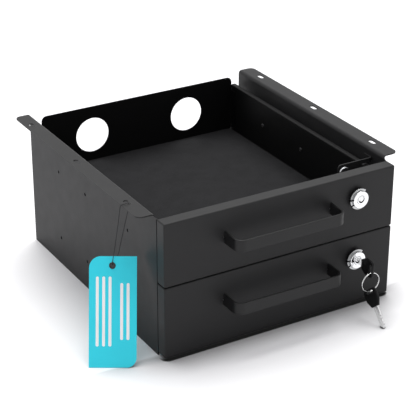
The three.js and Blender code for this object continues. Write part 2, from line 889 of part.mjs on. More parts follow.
function tagSheet() {
  const outline = roundedRect(0, 0, tagWidth, tagHeight, [0, tagBottomCorner, 0, tagTopCorner]);
  const card = alongZ(outline, -tagThickness, 0, { curveSegments: 8 });
  const barrel = eyeletBore + 2 * eyeletSheet + 2 * eyeletFit;
  const hole = new THREE.CylinderGeometry(barrel / 2, barrel / 2, 4 * tagThickness, 20);
  hole.rotateX(Math.PI / 2).translate(eyeletAcross, tagHeight - eyeletDrop, 0);
  return card.subtract(toSolid(hole));
}

function eyelet() {
  const rim = eyeletRim / 2;
  const bore = eyeletBore / 2;
  const barrel = bore + eyeletSheet;
  const front = eyeletFit + eyeletSheet;
  const back = -tagThickness - eyeletFit - eyeletSheet;
  const profile = [
    [bore, front],
    [bore, back],
    [rim, back],
    [rim, back + eyeletSheet],
    [barrel, back + eyeletSheet],
    [barrel, front - eyeletSheet],
    [rim, front - eyeletSheet],
    [rim, front],
    [bore, front],
  ].map(([radius, y]) => new THREE.Vector2(radius, y));
  const ring = new THREE.LatheGeometry(profile, 16);
  ring.rotateX(Math.PI / 2).translate(eyeletAcross, tagHeight - eyeletDrop, 0);
  return toSolid(ring);
}

// The string's route: up through the front left slot, over the flange's edge, down to the
// eyelet, through it, and back up behind the tag to the slot.
const stringRoute = [
  [-182.4, 45.5, 191.4],
  [-182.4, 45.4, 193.3],
  [-183.4, 45.2, 194.9],
  [-185.4, 45, 195.4],
  [-188.4, 44.9, 195.1],
  [-191.4, 44.9, 195.2],
  [-193.8, 45, 194.2],
  [-195, 45.1, 191.4],
  [-195.7, 45.4, 186],
  [-197.7, 46.3, 168.5],
  [-200.3, 47.2, 151],
  [-202.8, 48.1, 133.6],
  [-204.7, 48.8, 121],
  [-205.4, 49.1, 116.1],
  [-205.5, 48.9, 114.9],
  [-205.3, 49.2, 113.7],
  [-204.8, 50, 112.9],
  [-204.2, 51.1, 112.6],
  [-203.6, 52.1, 113],
  [-203.2, 52.8, 114],
  [-201.6, 53.4, 116.7],
  [-198.6, 53.1, 120],
  [-195.5, 52.9, 123.8],
  [-191.9, 51.4, 140.7],
  [-188.4, 49.9, 157.6],
  [-184.9, 48.4, 174.5],
  [-182.1, 47.2, 188],
  [-181.4, 46.9, 191.4],
];

function stringTube() {
  const curve = new THREE.CatmullRomCurve3(stringRoute.map((point) => new THREE.Vector3(...point)));
  const radius = stringDiameter / 2;
  const ring = Array.from({ length: 8 }, (_, i) => [
    radius * Math.cos((i * Math.PI) / 4),
    radius * Math.sin((i * Math.PI) / 4),
  ]);
  const settings = { steps: 64, extrudePath: curve, bevelEnabled: false };
  return toSolid(new THREE.ExtrudeGeometry(polygon(ring), settings));
}

// The assembly

function buildCabinet(parent) {
  addPiece(parent, 'left_side_panel', blackCoat, sidePanel(-1));
  addPiece(parent, 'right_side_panel', blackCoat, sidePanel(1));
  addPiece(parent, 'bottom_pan', blackCoat, bottomPan());
  for (const level of Object.keys(levels)) {
    addPiece(parent, `${level}_keeper`, blackCoat, keeper(level));
  }
}

function buildSlides(parent, level) {
  for (const [sideName, side] of [['left', -1], ['right', 1]]) {
    const name = `${level}_${sideName}`;
    addPiece(parent, `${name}_slide_outer`, zinc, slideChannel(side, level, outerMember));
    addPiece(parent, `${name}_slide_middle`, zinc, slideChannel(side, level, middleMember));
    addPiece(parent, `${name}_slide_inner`, zinc, slideChannel(side, level, innerMember));
    const outerCage = ballCage(side, level, outerCageFace, outerBallLine, outerBallRow);
    const innerCage = ballCage(side, level, innerCageFace, innerBallLine, innerBallRow);
    addPiece(parent, `${name}_outer_ball_cage`, ballSteel, outerCage);
    addPiece(parent, `${name}_inner_ball_cage`, ballSteel, innerCage);
  }
}

function buildDrawer(parent, level) {
  addPiece(parent, `${level}_front_panel`, blackCoat, frontPanel(level));
  addPiece(parent, `${level}_drawer_tub`, drawerCoat, tub(level));
  addPiece(parent, `${level}_drawer_back`, drawerCoat, backPanel(level));
  addPiece(parent, `${level}_drawer_liner`, felt, liner(level));
  addPiece(parent, `${level}_handle`, blackCoat, handle(level));
}

function buildLock(parent, level) {
  addPiece(parent, `${level}_lock_housing`, chrome, lockHousing(level));
  addPiece(parent, `${level}_lock_collar`, chrome, lockCollar(level));
  addPiece(parent, `${level}_lock_nut`, zinc, lockNut(level));
  addPiece(parent, `${level}_lock_plug`, chrome, lockPlug(level));
  addPiece(parent, `${level}_lock_cam`, zinc, cam(level));
  addPiece(parent, `${level}_cam_screw`, zinc, camScrew(level));
}

function buildKeys(parent) {
  const inserted = new THREE.Group();
  inserted.position.set(lockCentre, bowFront, lockLevelOf('lower'));
  addPiece(inserted, 'key_blade', zinc, keyBlade());
  addPiece(inserted, 'key_bow', keyPlastic, keyBow());
  const spare = spareKeyGroup();
  addPiece(spare, 'spare_key_blade', zinc, keyBlade());
  addPiece(spare, 'spare_key_bow', keyPlastic, keyBow());
  addPiece(parent, 'key_ring', zinc, keyRing());
  parent.add(inserted, spare);
}

function buildTag(parent) {
  const tag = tagGroup();
  addPiece(tag, 'swing_tag', tagCard, tagSheet());
  addPiece(tag, 'tag_eyelet', eyeletPaint, eyelet());
  addPiece(parent, 'tag_string', thread, stringTube());
  parent.add(tag);
}

const safe = new THREE.Group();
safe.position.y = -cabinetDepth / 2;
buildCabinet(safe);
for (const level of Object.keys(levels)) {
  buildSlides(safe, level);
  buildDrawer(safe, level);
  buildLock(safe, level);
}
buildKeys(safe);
buildTag(safe);

export default safe;
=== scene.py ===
"""Looks of an under-desk drawer safe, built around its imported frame.

Metres, in the frame's own axes: X runs right along the drawer fronts, Y runs back and Z
runs up. The origin is the centre of the cabinet's base. Each sub-assembly is a class, each
surface finish is a frozen dataclass, and main() builds them in order.
"""

import logging
import math
from collections.abc import Callable, Sequence
from dataclasses import dataclass
from enum import Enum
from typing import Any, ClassVar

import bmesh
import bpy
from mathutils import Matrix, Vector
from mathutils.geometry import tessellate_polygon


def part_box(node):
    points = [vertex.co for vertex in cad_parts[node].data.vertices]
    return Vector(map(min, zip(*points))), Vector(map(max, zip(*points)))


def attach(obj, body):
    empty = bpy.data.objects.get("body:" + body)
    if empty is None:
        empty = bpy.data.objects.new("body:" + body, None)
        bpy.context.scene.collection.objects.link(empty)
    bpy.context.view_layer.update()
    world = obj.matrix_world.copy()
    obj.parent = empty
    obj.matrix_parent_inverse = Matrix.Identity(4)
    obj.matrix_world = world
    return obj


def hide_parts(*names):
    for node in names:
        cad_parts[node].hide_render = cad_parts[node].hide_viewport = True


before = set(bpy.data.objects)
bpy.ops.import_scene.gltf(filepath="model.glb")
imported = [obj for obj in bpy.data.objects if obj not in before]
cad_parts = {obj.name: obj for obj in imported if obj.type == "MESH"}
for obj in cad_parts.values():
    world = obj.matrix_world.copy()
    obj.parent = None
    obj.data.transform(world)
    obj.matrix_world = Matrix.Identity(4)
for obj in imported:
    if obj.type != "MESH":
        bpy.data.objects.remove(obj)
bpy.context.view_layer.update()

Point = tuple[float, float]
Outline = list[Point]
Colour = tuple[float, float, float]
Solid = bmesh.types.BMesh

MM = 0.001
WHITE: Colour = (1.0, 1.0, 1.0)
BLACK: Colour = (0.0, 0.0, 0.0)
log = logging.getLogger("drawer safe")

# How near two points count as one, the least divisor of a mitre at a sharp corner, and the
# share of half a width that a round end's radius takes, so that its two arcs stay apart.
SAME_POINT = 1e-6
SHARPEST_MITRE = 0.3
ROUND_END = 0.999

# Sizes that several sub-assemblies share. The slides' screws are placed behind the cabinet's
# front edge, and a cutter reaches past what it cuts by the clearance.
WALL_SHEET = 0.0015
SCREW_HOLE = 0.0044
LOCK_HOLE = 0.0194
WALL_SCREWS = (0.075, 0.1945, 0.275)
TUB_SCREWS = (0.075, 0.1735, 0.272)
CLEAR = 0.001


class Level(Enum):
    """The two drawers, by the word that starts their solids' names."""

    LOWER = "lower"
    UPPER = "upper"


class Side(Enum):
    """The two sides of the cabinet; the value is the sign of X there."""

    LEFT = -1
    RIGHT = 1

    @property
    def word(self) -> str:
        """The side's word in the solids' names."""
        return self.name.lower()


class Axis(Enum):
    """The direction that a flat outline is drawn out along."""

    X = "x"
    Y = "y"
    Z = "z"

    def place(self, a: float, b: float, along: float) -> Vector:
        """Turns outline coordinates and a distance along the axis into a point.

        Args:
            a: The outline's first coordinate: Y for Axis.X, and X for the others.
            b: The outline's second coordinate: Y for Axis.Z, and Z for the others.
            along: The distance along the axis.

        Returns:
            The point in the frame's axes.
        """
        if self is Axis.X:
            return Vector((along, a, b))
        if self is Axis.Y:
            return Vector((a, along, b))
        return Vector((a, b, along))


class Join(Enum):
    """What a boolean does with its tool."""

    ADD = "UNION"
    CUT = "DIFFERENCE"
    KEEP = "INTERSECT"


def arc(centre: Point, radius: float, start: float, end: float, steps: int = 8) -> Outline:
    """Points along a round stretch of an outline.

    Args:
        centre: The arc's centre.
        radius: Its radius.
        start: The first angle, in degrees.
        end: The last angle, in degrees.
        steps: The number of chords.

    Returns:
        The arc's points, both ends included.
    """
    angles = [math.radians(start + (end - start) * i / steps) for i in range(steps + 1)]
    return [(centre[0] + radius * math.cos(t), centre[1] + radius * math.sin(t)) for t in angles]


def rounded(low: Point, high: Point, radii: Sequence[float], steps: int = 8) -> Outline:
    """A rectangle with rounded corners.

    Args:
        low: The lower left corner.
        high: The upper right corner.
        radii: The radii of the lower left, lower right, upper right and upper left corners.
        steps: The number of chords in each corner.

    Returns:
        The outline, anticlockwise.
    """
    corners = [(low[0], low[1]), (high[0], low[1]), (high[0], high[1]), (low[0], high[1])]
    outline: Outline = []
    for i, ((a, b), radius) in enumerate(zip(corners, radii)):
        if radius <= 0:
            outline.append((a, b))
            continue
        inward_a = 1 if i in (0, 3) else -1
        inward_b = 1 if i in (0, 1) else -1
        centre = (a + inward_a * radius, b + inward_b * radius)
        outline += arc(centre, radius, 180 + 90 * i, 270 + 90 * i, steps)
    return outline


def slot(centre: Point, size_a: float, size_b: float) -> Outline:
    """A slot with round ends, as long as the larger size.

    Args:
        centre: Its centre.
        size_a: Its size along the first coordinate.
        size_b: Its size along the second.

    Returns:
        The outline.
    """
    radius = min(size_a, size_b) / 2 * ROUND_END
    low = (centre[0] - size_a / 2, centre[1] - size_b / 2)
    high = (centre[0] + size_a / 2, centre[1] + size_b / 2)
    return rounded(low, high, [radius] * 4)


def circle(centre: Point, radius: float, steps: int) -> Outline:
    """A full round outline."""
    return arc(centre, radius, 0, 360, steps)[:-1]


def area_of(loop: Outline) -> float:
    """The signed area of a closed outline, above zero where it runs anticlockwise."""
    pairs = zip(loop, loop[1:] + loop[:1])
    return sum(a[0] * b[1] - b[0] * a[1] for a, b in pairs) / 2


def tidy_loop(loop: Outline, anticlockwise: bool) -> Outline:
    """The outline without double points, turned the way that is asked for."""
    kept = [p for i, p in enumerate(loop) if math.dist(p, loop[i - 1]) > SAME_POINT]
    return kept if (area_of(kept) > 0) is anticlockwise else kept[::-1]


def inset_loop(loop: Outline, inset: float) -> Outline:
    """The outline moved towards the material on its left.

    Args:
        loop: A closed outline without double points.
        inset: How far each edge moves.

    Returns:
        The moved outline, with as many points.
    """
    if not inset:
        return list(loop)
    moved: Outline = []
    for i, (a, b) in enumerate(loop):
        before = Vector((a - loop[i - 1][0], b - loop[i - 1][1])).normalized()
        following = loop[(i + 1) % len(loop)]
        after = Vector((following[0] - a, following[1] - b)).normalized()
        normals = Vector((-before.y, before.x)) + Vector((-after.y, after.x))
        mitre = normals / max(1 + before.dot(after), SHARPEST_MITRE)
        moved.append((a + mitre.x * inset, b + mitre.y * inset))
    return moved


def draw_out(
    outline: Outline,
    axis: Axis,
    start: float,
    end: float,
    edge: float = 0.0,
    holes: Sequence[Outline] = (),
    steps: int = 3,
) -> Solid:
    """A plate or bar: a flat outline drawn out along an axis, with rounded rims.

    Args:
        outline: The outer outline.
        axis: The direction.
        start: Where the solid starts along the axis.
        end: Where it ends.
        edge: The radius of its rims, at the holes too.
        holes: The outlines of its holes.
        steps: The number of chords in a rim.

    Returns:
        The closed solid.
    """
    loops = [tidy_loop(outline, True)] + [tidy_loop(hole, False) for hole in holes]
    rings = [(0.0, start), (0.0, end)]
    if edge:
        turns = [math.pi / 2 * i / steps for i in range(steps + 1)]
        first = [(edge * (1 - math.sin(t)), edge * (1 - math.cos(t))) for t in turns]
        rings = [(inset, start + depth) for inset, depth in first]
        rings += [(inset, end - depth) for inset, depth in reversed(first)]
    solid = bmesh.new()
    layers = []
    for inset, along in rings:
        layer = []
        for loop in loops:
            points = inset_loop(loop, inset)
            layer.append([solid.verts.new(axis.place(a, b, along)) for a, b in points])
        layers.append(layer)
    for low, high in zip(layers, layers[1:]):
        for ring_low, ring_high in zip(low, high):
            count = len(ring_low)
            for i in range(count):
                j = (i + 1) % count
                solid.faces.new((ring_low[i], ring_low[j], ring_high[j], ring_high[i]))
    for layer, (inset, _) in ((layers[0], rings[0]), (layers[-1], rings[-1])):
        flat = [[Vector((a, b, 0)) for a, b in inset_loop(loop, inset)] for loop in loops]
        corners = [vertex for ring in layer for vertex in ring]
        for triangle in tessellate_polygon(flat):
            solid.faces.new([corners[i] for i in triangle])
    bmesh.ops.recalc_face_normals(solid, faces=solid.faces)
    return solid


def box(low: Sequence[float], high: Sequence[float]) -> Solid:
    """A block between two corners."""
    outline = rounded((low[0], low[1]), (high[0], high[1]), [0.0] * 4)
    return draw_out(outline, Axis.Z, low[2], high[2])


def turn(profile: Sequence[Point], centre: Sequence[float], axis: Axis, steps: int = 48) -> Solid:
    """A body turned about an axis.

    Args:
        profile: (radius, distance along the axis) points of a closed profile, or of one
            whose ends lie on the axis.
        centre: The point that the distances are measured from.
        axis: The axis.
        steps: The number of steps in a full turn.

    Returns:
        The closed solid.
    """
    solid = bmesh.new()
    rings = []
    for radius, along in profile:
        if radius < SAME_POINT:
            rings.append([solid.verts.new(axis.place(0, 0, along))])
            continue
        angles = [2 * math.pi * i / steps for i in range(steps)]
        points = [axis.place(radius * math.cos(t), radius * math.sin(t), along) for t in angles]
        rings.append([solid.verts.new(point) for point in points])
    open_ended = len(rings[0]) == 1 and len(rings[-1]) == 1
    pairs = list(zip(rings, rings[1:])) + ([] if open_ended else [(rings[-1], rings[0])])
    for low, high in pairs:
        for i in range(steps):
            j = (i + 1) % steps
            around = [low[i % len(low)], low[j % len(low)], high[j % len(high)], high[i % len(high)]]
            solid.faces.new(list(dict.fromkeys(around)))
    bmesh.ops.recalc_face_normals(solid, faces=solid.faces)
    bmesh.ops.translate(solid, vec=Vector(centre), verts=solid.verts)
    return solid


def sweep(path: Sequence[Vector], section: Callable[[float], Outline], up: Vector) -> Solid:
    """A tube along a path.

    Args:
        path: The points that it follows.
        section: Gives the section's outline for a share of the path, from 0 to 1.
        up: The direction that the section's second axis starts from.

    Returns:
        The closed tube.
    """
    solid = bmesh.new()
    rings = []
    side = (path[1] - path[0]).cross(up)
    for i, point in enumerate(path):
        along = (path[min(i + 1, len(path) - 1)] - path[max(i - 1, 0)]).normalized()
        side = (side - along * side.dot(along)).normalized()
        upward = side.cross(along)
        outline = section(i / (len(path) - 1))
        rings.append([solid.verts.new(point + side * a + upward * b) for a, b in outline])
    for low, high in zip(rings, rings[1:]):
        for i in range(len(low)):
            j = (i + 1) % len(low)
            solid.faces.new((low[i], low[j], high[j], high[i]))
    solid.faces.new(rings[0])
    solid.faces.new(rings[-1])
    bmesh.ops.recalc_face_normals(solid, faces=solid.faces)
    return solid


def folded(corners: Sequence[Point], sheet: float, bend: float, steps: int = 6) -> Outline:
    """The section of a folded sheet.

    Args:
        corners: Where the flats of the sheet's middle line meet, and its two ends.
        sheet: The sheet's thickness.
        bend: The radius of the middle line at each fold.
        steps: The number of chords in a fold.

    Returns:
        The section's closed outline.
    """
    line = [Vector(corners[0])]
    for before, corner, after in zip(corners, corners[1:], corners[2:]):
        back = (Vector(before) - Vector(corner)).normalized()
        ahead = (Vector(after) - Vector(corner)).normalized()
        half = back.angle(ahead) / 2
        centre = Vector(corner) + (back + ahead).normalized() * bend / math.sin(half)
        first = Vector(corner) + back * bend / math.tan(half) - centre
        last = Vector(corner) + ahead * bend / math.tan(half) - centre
        sweep_angle = math.atan2(first.x * last.y - first.y * last.x, first.dot(last))
        start = math.atan2(first.y, first.x)
        for i in range(steps + 1):
            angle = start + sweep_angle * i / steps
            line.append(centre + Vector((math.cos(angle), math.sin(angle))) * bend)
    line.append(Vector(corners[-1]))
    left, right = [], []
    for i, point in enumerate(line):
        before = (point - line[i - 1]).normalized() if i else None
        after = (line[i + 1] - point).normalized() if i + 1 < len(line) else None
        before, after = before or after, after or before
        normal = Vector((-before.y - after.y, before.x + after.x)) / (1 + before.dot(after))
        left.append(tuple(point + normal * sheet / 2))
        right.append(tuple(point - normal * sheet / 2))
    return left + right[::-1]


def rod(
    radius: float, start: float, end: float, centre: Sequence[float], axis: Axis, steps: int = 24
) -> Solid:
    """A plain round bar or bore along an axis, from start to end as told from the centre."""
    return turn([(0, start), (radius, start), (radius, end), (0, end)], centre, axis, steps)


def bevelled(radius: float, inset: float, depth: float, start: float, end: float) -> Outline:
    """The profile of a disc with bevelled rims.

    Args:
        radius: Its radius.
        inset: How far a bevel reaches in along the radius.
        depth: How far it reaches along the axis.
        start: Where the disc starts along the axis.
        end: Where it ends.

    Returns:
        The profile, from the axis and back to it.
    """
    rim = [(radius - inset, start), (radius, start + depth), (radius, end - depth), (radius - inset, end)]
    return [(0, start), *rim, (0, end)]


def skins(half: float, depth: float) -> list[Point]:
    """The spans of two cutters that go to a depth into a plate's faces, half a plate off its middle."""
    return [(-half - CLEAR, -half + depth), (half - depth, half + CLEAR)]


def hexagon(centre: Point, across: float) -> Outline:
    """A hexagon of a width across its flats."""
    return arc(centre, across / math.sqrt(3), 0, 300, 5)


def ball(centre: Sequence[float], radius: float) -> Solid:
    """A smooth ball.

    Args:
        centre: Its centre.
        radius: Its radius.

    Returns:
        The ball.
    """
    solid = bmesh.new()
    place = Matrix.Translation(Vector(centre))
    bmesh.ops.create_uvsphere(solid, u_segments=20, v_segments=12, radius=radius, matrix=place)
    return solid


def moved(solid: Solid, matrix: Matrix) -> Solid:
    """The same solid, moved by a matrix."""
    bmesh.ops.transform(solid, matrix=matrix, verts=solid.verts)
    return solid


def together(solids: Sequence[Solid]) -> Solid:
    """Several solids as the parts of one mesh.

    Args:
        solids: The solids, which are used up.

    Returns:
        The mesh that holds them all.
    """
    whole = bmesh.new()
    for solid in solids:
        data = bpy.data.meshes.new("part")
        solid.to_mesh(data)
        whole.from_mesh(data)
        bpy.data.meshes.remove(data)
        solid.free()
    return whole


def loose(solid: Solid, name: str) -> bpy.types.Object:
    """A plain object that holds a solid.

    Args:
        solid: The solid, which is used up.
        name: The object's name.

    Returns:
        The object.
    """
    bmesh.ops.recalc_face_normals(solid, faces=solid.faces)
    data = bpy.data.meshes.new(name)
    solid.to_mesh(data)
    solid.free()
    holder = bpy.data.objects.new(name, data)
    bpy.context.scene.collection.objects.link(holder)
    return holder


def combine(solid: Solid, tools: Sequence[Solid], join: Join) -> Solid:
    """A solid cut by, or joined to, other solids.

    Args:
        solid: The solid to change; it is used up, and so are the tools.
        tools: The solids to cut or join with.
        join: What to do.

    Returns:
        The new solid.
    """
    subject = loose(solid, "subject")
    holders = [loose(tool, "tool") for tool in tools]
    for holder in holders:
        step = subject.modifiers.new("boolean", "BOOLEAN")
        step.operation = join.value
        step.solver = "EXACT"
        step.object = holder
    bpy.context.view_layer.update()
    result = bmesh.new()
    result.from_object(subject, bpy.context.evaluated_depsgraph_get())
    for holder in [subject, *holders]:
        data = holder.data
        bpy.data.objects.remove(holder)
        bpy.data.meshes.remove(data)
    return result


class Tree:
    """The nodes of a material or of the world, under construction."""

    def __init__(self, owner: Any) -> None:
        """Starts the tree.

        Args:
            owner: The material or world that the nodes belong to.
        """
        owner.use_nodes = True
        self.nodes = owner.node_tree.nodes
        self.links = owner.node_tree.links

    def worked(self, operation: str, first: Any, second: Any) -> Any:
        """The result of a sum on two values.

        Args:
            operation: The kind of sum, as a Math node names it.
            first: The first value, as a socket or a number.
            second: The second value, as a socket or a number.

        Returns:
            The result as a socket.
        """
        node = self.nodes.new("ShaderNodeMath")
        node.operation = operation
        for value, socket in zip((first, second), node.inputs):
            if isinstance(value, bpy.types.NodeSocket):
                self.links.new(value, socket)
            else:
                socket.default_value = value
        return node.outputs["Value"]

    def added(self, first: Any, second: Any, share: float) -> Any:
        """A value plus a share of another.

        Args:
            first: The first value, as a socket.
            second: The second value, as a socket.
            share: The share of the second that is added.

        Returns:
            The sum as a socket.
        """
        node = self.nodes.new("ShaderNodeMath")
        node.operation = "MULTIPLY_ADD"
        node.inputs[1].default_value = share
        self.links.new(second, node.inputs[0])
        self.links.new(first, node.inputs[2])
        return node.outputs["Value"]

    def ranged(self, value: Any, low: float, high: float, start: float = 0.3, end: float = 0.7) -> Any:
        """A value's stretch, spread over another.

        Args:
            value: The value, as a socket.
            low: What the stretch's start becomes.
            high: What its end becomes.
            start: The stretch's start.
            end: Its end.

        Returns:
            The new value as a socket, held between low and high.
        """
        node = self.nodes.new("ShaderNodeMapRange")
        node.inputs["From Min"].default_value = start
        node.inputs["From Max"].default_value = end
        node.inputs["To Min"].default_value = low
        node.inputs["To Max"].default_value = high
        self.links.new(value, node.inputs["Value"])
        return node.outputs["Result"]

    def blended(self, factor: Any, first: Sequence[float], second: Sequence[float]) -> Any:
        """A colour between two.

        Args:
            factor: The share of the second, as a socket.
            first: The first colour.
            second: The second colour.

        Returns:
            The colour as a socket.
        """
        node = self.nodes.new("ShaderNodeMix")
        node.data_type = "RGBA"
        node.inputs["A"].default_value = (*first, 1)
        node.inputs["B"].default_value = (*second, 1)
        self.links.new(factor, node.inputs["Factor"])
        return next(s for s in node.outputs if s.type == "RGBA")

    def part_of(self, place: Any, axis: Axis) -> Any:
        """One coordinate of a place.

        Args:
            place: The place, as a socket.
            axis: The coordinate's axis.

        Returns:
            The coordinate as a socket.
        """
        node = self.nodes.new("ShaderNodeSeparateXYZ")
        self.links.new(place, node.inputs["Vector"])
        return node.outputs[axis.name]

    def seen_share(self) -> Any:
        """Tells what is seen from what only gives light.

        Returns:
            A socket of 1 for rays from the camera, from gloss and through glass, and else 0.
        """
        path = self.nodes.new("ShaderNodeLightPath").outputs
        seen = self.worked("MAXIMUM", path["Is Camera Ray"], path["Is Glossy Ray"])
        return self.worked("MAXIMUM", seen, path["Is Transmission Ray"])


class Graph(Tree):
    """A principled material under construction, in object coordinates in metres."""

    def __init__(self, name: str) -> None:
        """Starts the material.

        Args:
            name: The material's name.
        """
        self.material = bpy.data.materials.new(name)
        super().__init__(self.material)
        self.shader = self.nodes["Principled BSDF"]
        self.place = self.nodes.new("ShaderNodeTexCoord").outputs["Object"]

    def fix(self, **values: Any) -> None:
        """Sets the shader's own sockets; an underscore in a name stands for a space."""
        for name, value in values.items():
            self.shader.inputs[name.replace("_", " ")].default_value = value

    def link(self, socket: Any, name: str) -> None:
        """Links a socket to one of the shader's inputs."""
        self.links.new(socket, self.shader.inputs[name])

    def stretched(self, stretch: Sequence[float], tilt: Sequence[float] = (0, 0, 0)) -> Any:
        """The object's coordinates, turned and stretched.

        Args:
            stretch: The scale along each axis.
            tilt: The turn about each axis, in radians.

        Returns:
            The coordinates as a socket.
        """
        node = self.nodes.new("ShaderNodeMapping")
        node.inputs["Scale"].default_value = stretch
        node.inputs["Rotation"].default_value = tilt
        self.links.new(self.place, node.inputs["Vector"])
        return node.outputs["Vector"]

    def noise(self, scale: float, detail: float = 2, rough: float = 0.5, place: Any = None) -> Any:
        """Smooth noise.

        Args:
            scale: Its cells in a metre.
            detail: Its octaves.
            rough: The share that each octave keeps.
            place: The coordinates, or None for the object's own.

        Returns:
            The noise as a socket, from 0 to 1.
        """
        node = self.nodes.new("ShaderNodeTexNoise")
        node.inputs["Scale"].default_value = scale
        node.inputs["Detail"].default_value = detail
        node.inputs["Roughness"].default_value = rough
        self.links.new(place or self.place, node.inputs["Vector"])
        return node.outputs["Fac"]

    def clearance(self, reach: float, samples: int) -> Any:
        """The share of the directions above a point that nothing near blocks, which is used to paint shade
        into a colour.

        Args:
            reach: How far off a thing still blocks.
            samples: The directions that are tried.

        Returns:
            The share as a socket, from 0 to 1.
        """
        node = self.nodes.new("ShaderNodeAmbientOcclusion")
        node.samples = samples
        node.inputs["Distance"].default_value = reach
        return node.outputs["AO"]

    def bump(self, height: Any, depth: float, strength: float = 1.0) -> None:
        """Raises the surface by a height.

        Args:
            height: The height as a socket, from 0 to 1.
            depth: The height of 1, in metres.
            strength: How much of it shows.
        """
        node = self.nodes.new("ShaderNodeBump")
        node.inputs["Distance"].default_value = depth
        node.inputs["Strength"].default_value = strength
        self.links.new(height, node.inputs["Height"])
        self.link(node.outputs["Normal"], "Normal")


def scaled(colour: Colour, share: float) -> Colour:
    """A colour, lighter or darker by a share."""
    return tuple(min(1.0, channel * share) for channel in colour)


@dataclass(frozen=True)
class Finish:
    """A surface finish: a node material, made once and shared by its pieces.

    The tones are the darkest and the lightest share of its colour, and the hazes are how far
    its roughness goes below and above the one that is told.
    """

    name: str
    slot: str
    colour: Colour
    roughness: float
    tones: ClassVar[Point] = (1.0, 1.0)
    hazes: ClassVar[Point] = (0.0, 0.0)

    def material(self) -> bpy.types.Material:
        """Makes the finish's material the first time, and finds it after that.

        Returns:
            The material.
        """
        found = bpy.data.materials.get(self.name)
        if found:
            return found
        graph = Graph(self.name)
        self.dress(graph)
        return graph.material

    def tint(self, graph: Graph, factor: Any) -> None:
        """Varies the colour from its darkest tone, at a factor of 0, to its lightest, at 1."""
        dark, light = (scaled(self.colour, share) for share in self.tones)
        graph.link(graph.blended(factor, dark, light), "Base Color")

    def dull(self, graph: Graph, factor: Any, start: float = 0.3, end: float = 0.7) -> None:
        """Varies the roughness by a factor's stretch from start to end."""
        low, high = (self.roughness + step for step in self.hazes)
        graph.link(graph.ranged(factor, low, high, start, end), "Roughness")

    def dress(self, graph: Graph) -> None:
        """Builds the finish's nodes. Each kind of finish has its own."""
        raise NotImplementedError


@dataclass(frozen=True)
class PowderCoat(Finish):
    """Baked powder paint: a fine pebbled skin with a soft, slightly cloudy gloss.

    The clouds, smears, pebbles and grains are told by how many lie in a metre.
    """

    shine: float = 0.35
    cloud: float = 14.0
    smear: float = 60.0
    pebble: float = 520.0
    grain: float = 2200.0
    depth: float = 0.00002
    tones: ClassVar[Point] = (0.93, 1.08)
    hazes: ClassVar[Point] = (-0.03, 0.04)

    def dress(self, graph: Graph) -> None:
        """Clouds the colour and the gloss a little, and pebbles the skin.

        Args:
            graph: The material's nodes.
        """
        graph.fix(Specular_IOR_Level=self.shine)
        self.tint(graph, graph.noise(self.cloud, 3))
        gloss = graph.added(graph.noise(self.smear, 3), graph.noise(self.grain, 1), 0.4)
        self.dull(graph, gloss, 0.4, 1.0)
        skin = graph.added(graph.noise(self.pebble, 2, 0.45), graph.noise(self.grain, 2), 0.35)
        graph.bump(skin, self.depth)


@dataclass(frozen=True)
class Felt(Finish):
    """Needle felt: matted fibres, mottled by the way that they lie.

    The streaks, fibres and their tilts are told as cells in a metre and turns about each axis.
    """

    patch: float = 46.0
    streak: tuple[float, ...] = (90, 420, 300)
    streak_tilt: tuple[float, ...] = (0, 0, 0.35)
    fibre: tuple[float, ...] = (700, 2600, 1500)
    fibre_tilt: tuple[float, ...] = (0, 0, -0.5)
    fluff: float = 1900.0
    depth: float = 0.00022
    shine: float = 0.2
    sheen: float = 0.04
    sheen_spread: float = 0.6
    tones: ClassVar[Point] = (0.66, 1.36)

    def dress(self, graph: Graph) -> None:
        """Mottles the colour in patches and streaks, and raises the fibres.

        Args:
            graph: The material's nodes.
        """
        graph.fix(Roughness=self.roughness, Specular_IOR_Level=self.shine)
        graph.fix(Sheen_Weight=self.sheen, Sheen_Roughness=self.sheen_spread)
        patches = graph.noise(self.patch, 4, 0.6)
        streaks = graph.noise(1, 4, 0.65, graph.stretched(self.streak, self.streak_tilt))
        fibres = graph.noise(1, 3, 0.7, graph.stretched(self.fibre, self.fibre_tilt))
        mottle = graph.added(graph.added(patches, streaks, 0.8), fibres, 0.5)
        self.tint(graph, graph.ranged(mottle, 0, 1, 0.8, 1.5))
        pile = graph.added(fibres, graph.noise(self.fluff, 3, 0.7), 0.8)
        graph.bump(graph.added(pile, streaks, 0.6), self.depth, 0.8)


@dataclass(frozen=True)
class PlatedMetal(Finish):
    """Plated metal: bright chrome, zinc or oiled steel, with fine rub marks along one way."""

    spread: float = 0.05
    cloud: float = 160.0
    rub: Sequence[float] = (900.0, 60.0, 900.0)
    depth: float = 0.000002
    tones: ClassVar[Point] = (0.94, 1.04)

    def dress(self, graph: Graph) -> None:
        """Varies the gloss by rub marks and a slight haze.

        Args:
            graph: The material's nodes.
        """
        graph.fix(Metallic=1.0)
        haze = graph.noise(self.cloud, 3)
        self.tint(graph, haze)
        marks = graph.noise(1, 3, 0.6, graph.stretched(self.rub))
        low, high = self.roughness, self.roughness + self.spread
        gloss = graph.added(marks, haze, 0.6)
        graph.link(graph.ranged(gloss, low, high, 0.4, 1.2), "Roughness")
        graph.bump(marks, self.depth)


@dataclass(frozen=True)
class Moulding(Finish):
    """Moulded or painted small parts: a plain colour with a faint leathery grain."""

    cloud: float = 90.0
    smear: float = 300.0
    grain: float = 1500.0
    depth: float = 0.00001
    shine: float = 0.5
    tones: ClassVar[Point] = (0.85, 1.25)
    hazes: ClassVar[Point] = (-0.05, 0.07)

    def dress(self, graph: Graph) -> None:
        """Grains the surface and varies its gloss.

        Args:
            graph: The material's nodes.
        """
        graph.fix(Specular_IOR_Level=self.shine)
        self.tint(graph, graph.noise(self.cloud, 3))
        self.dull(graph, graph.noise(self.smear, 3))
        graph.bump(graph.noise(self.grain, 3, 0.6), self.depth)


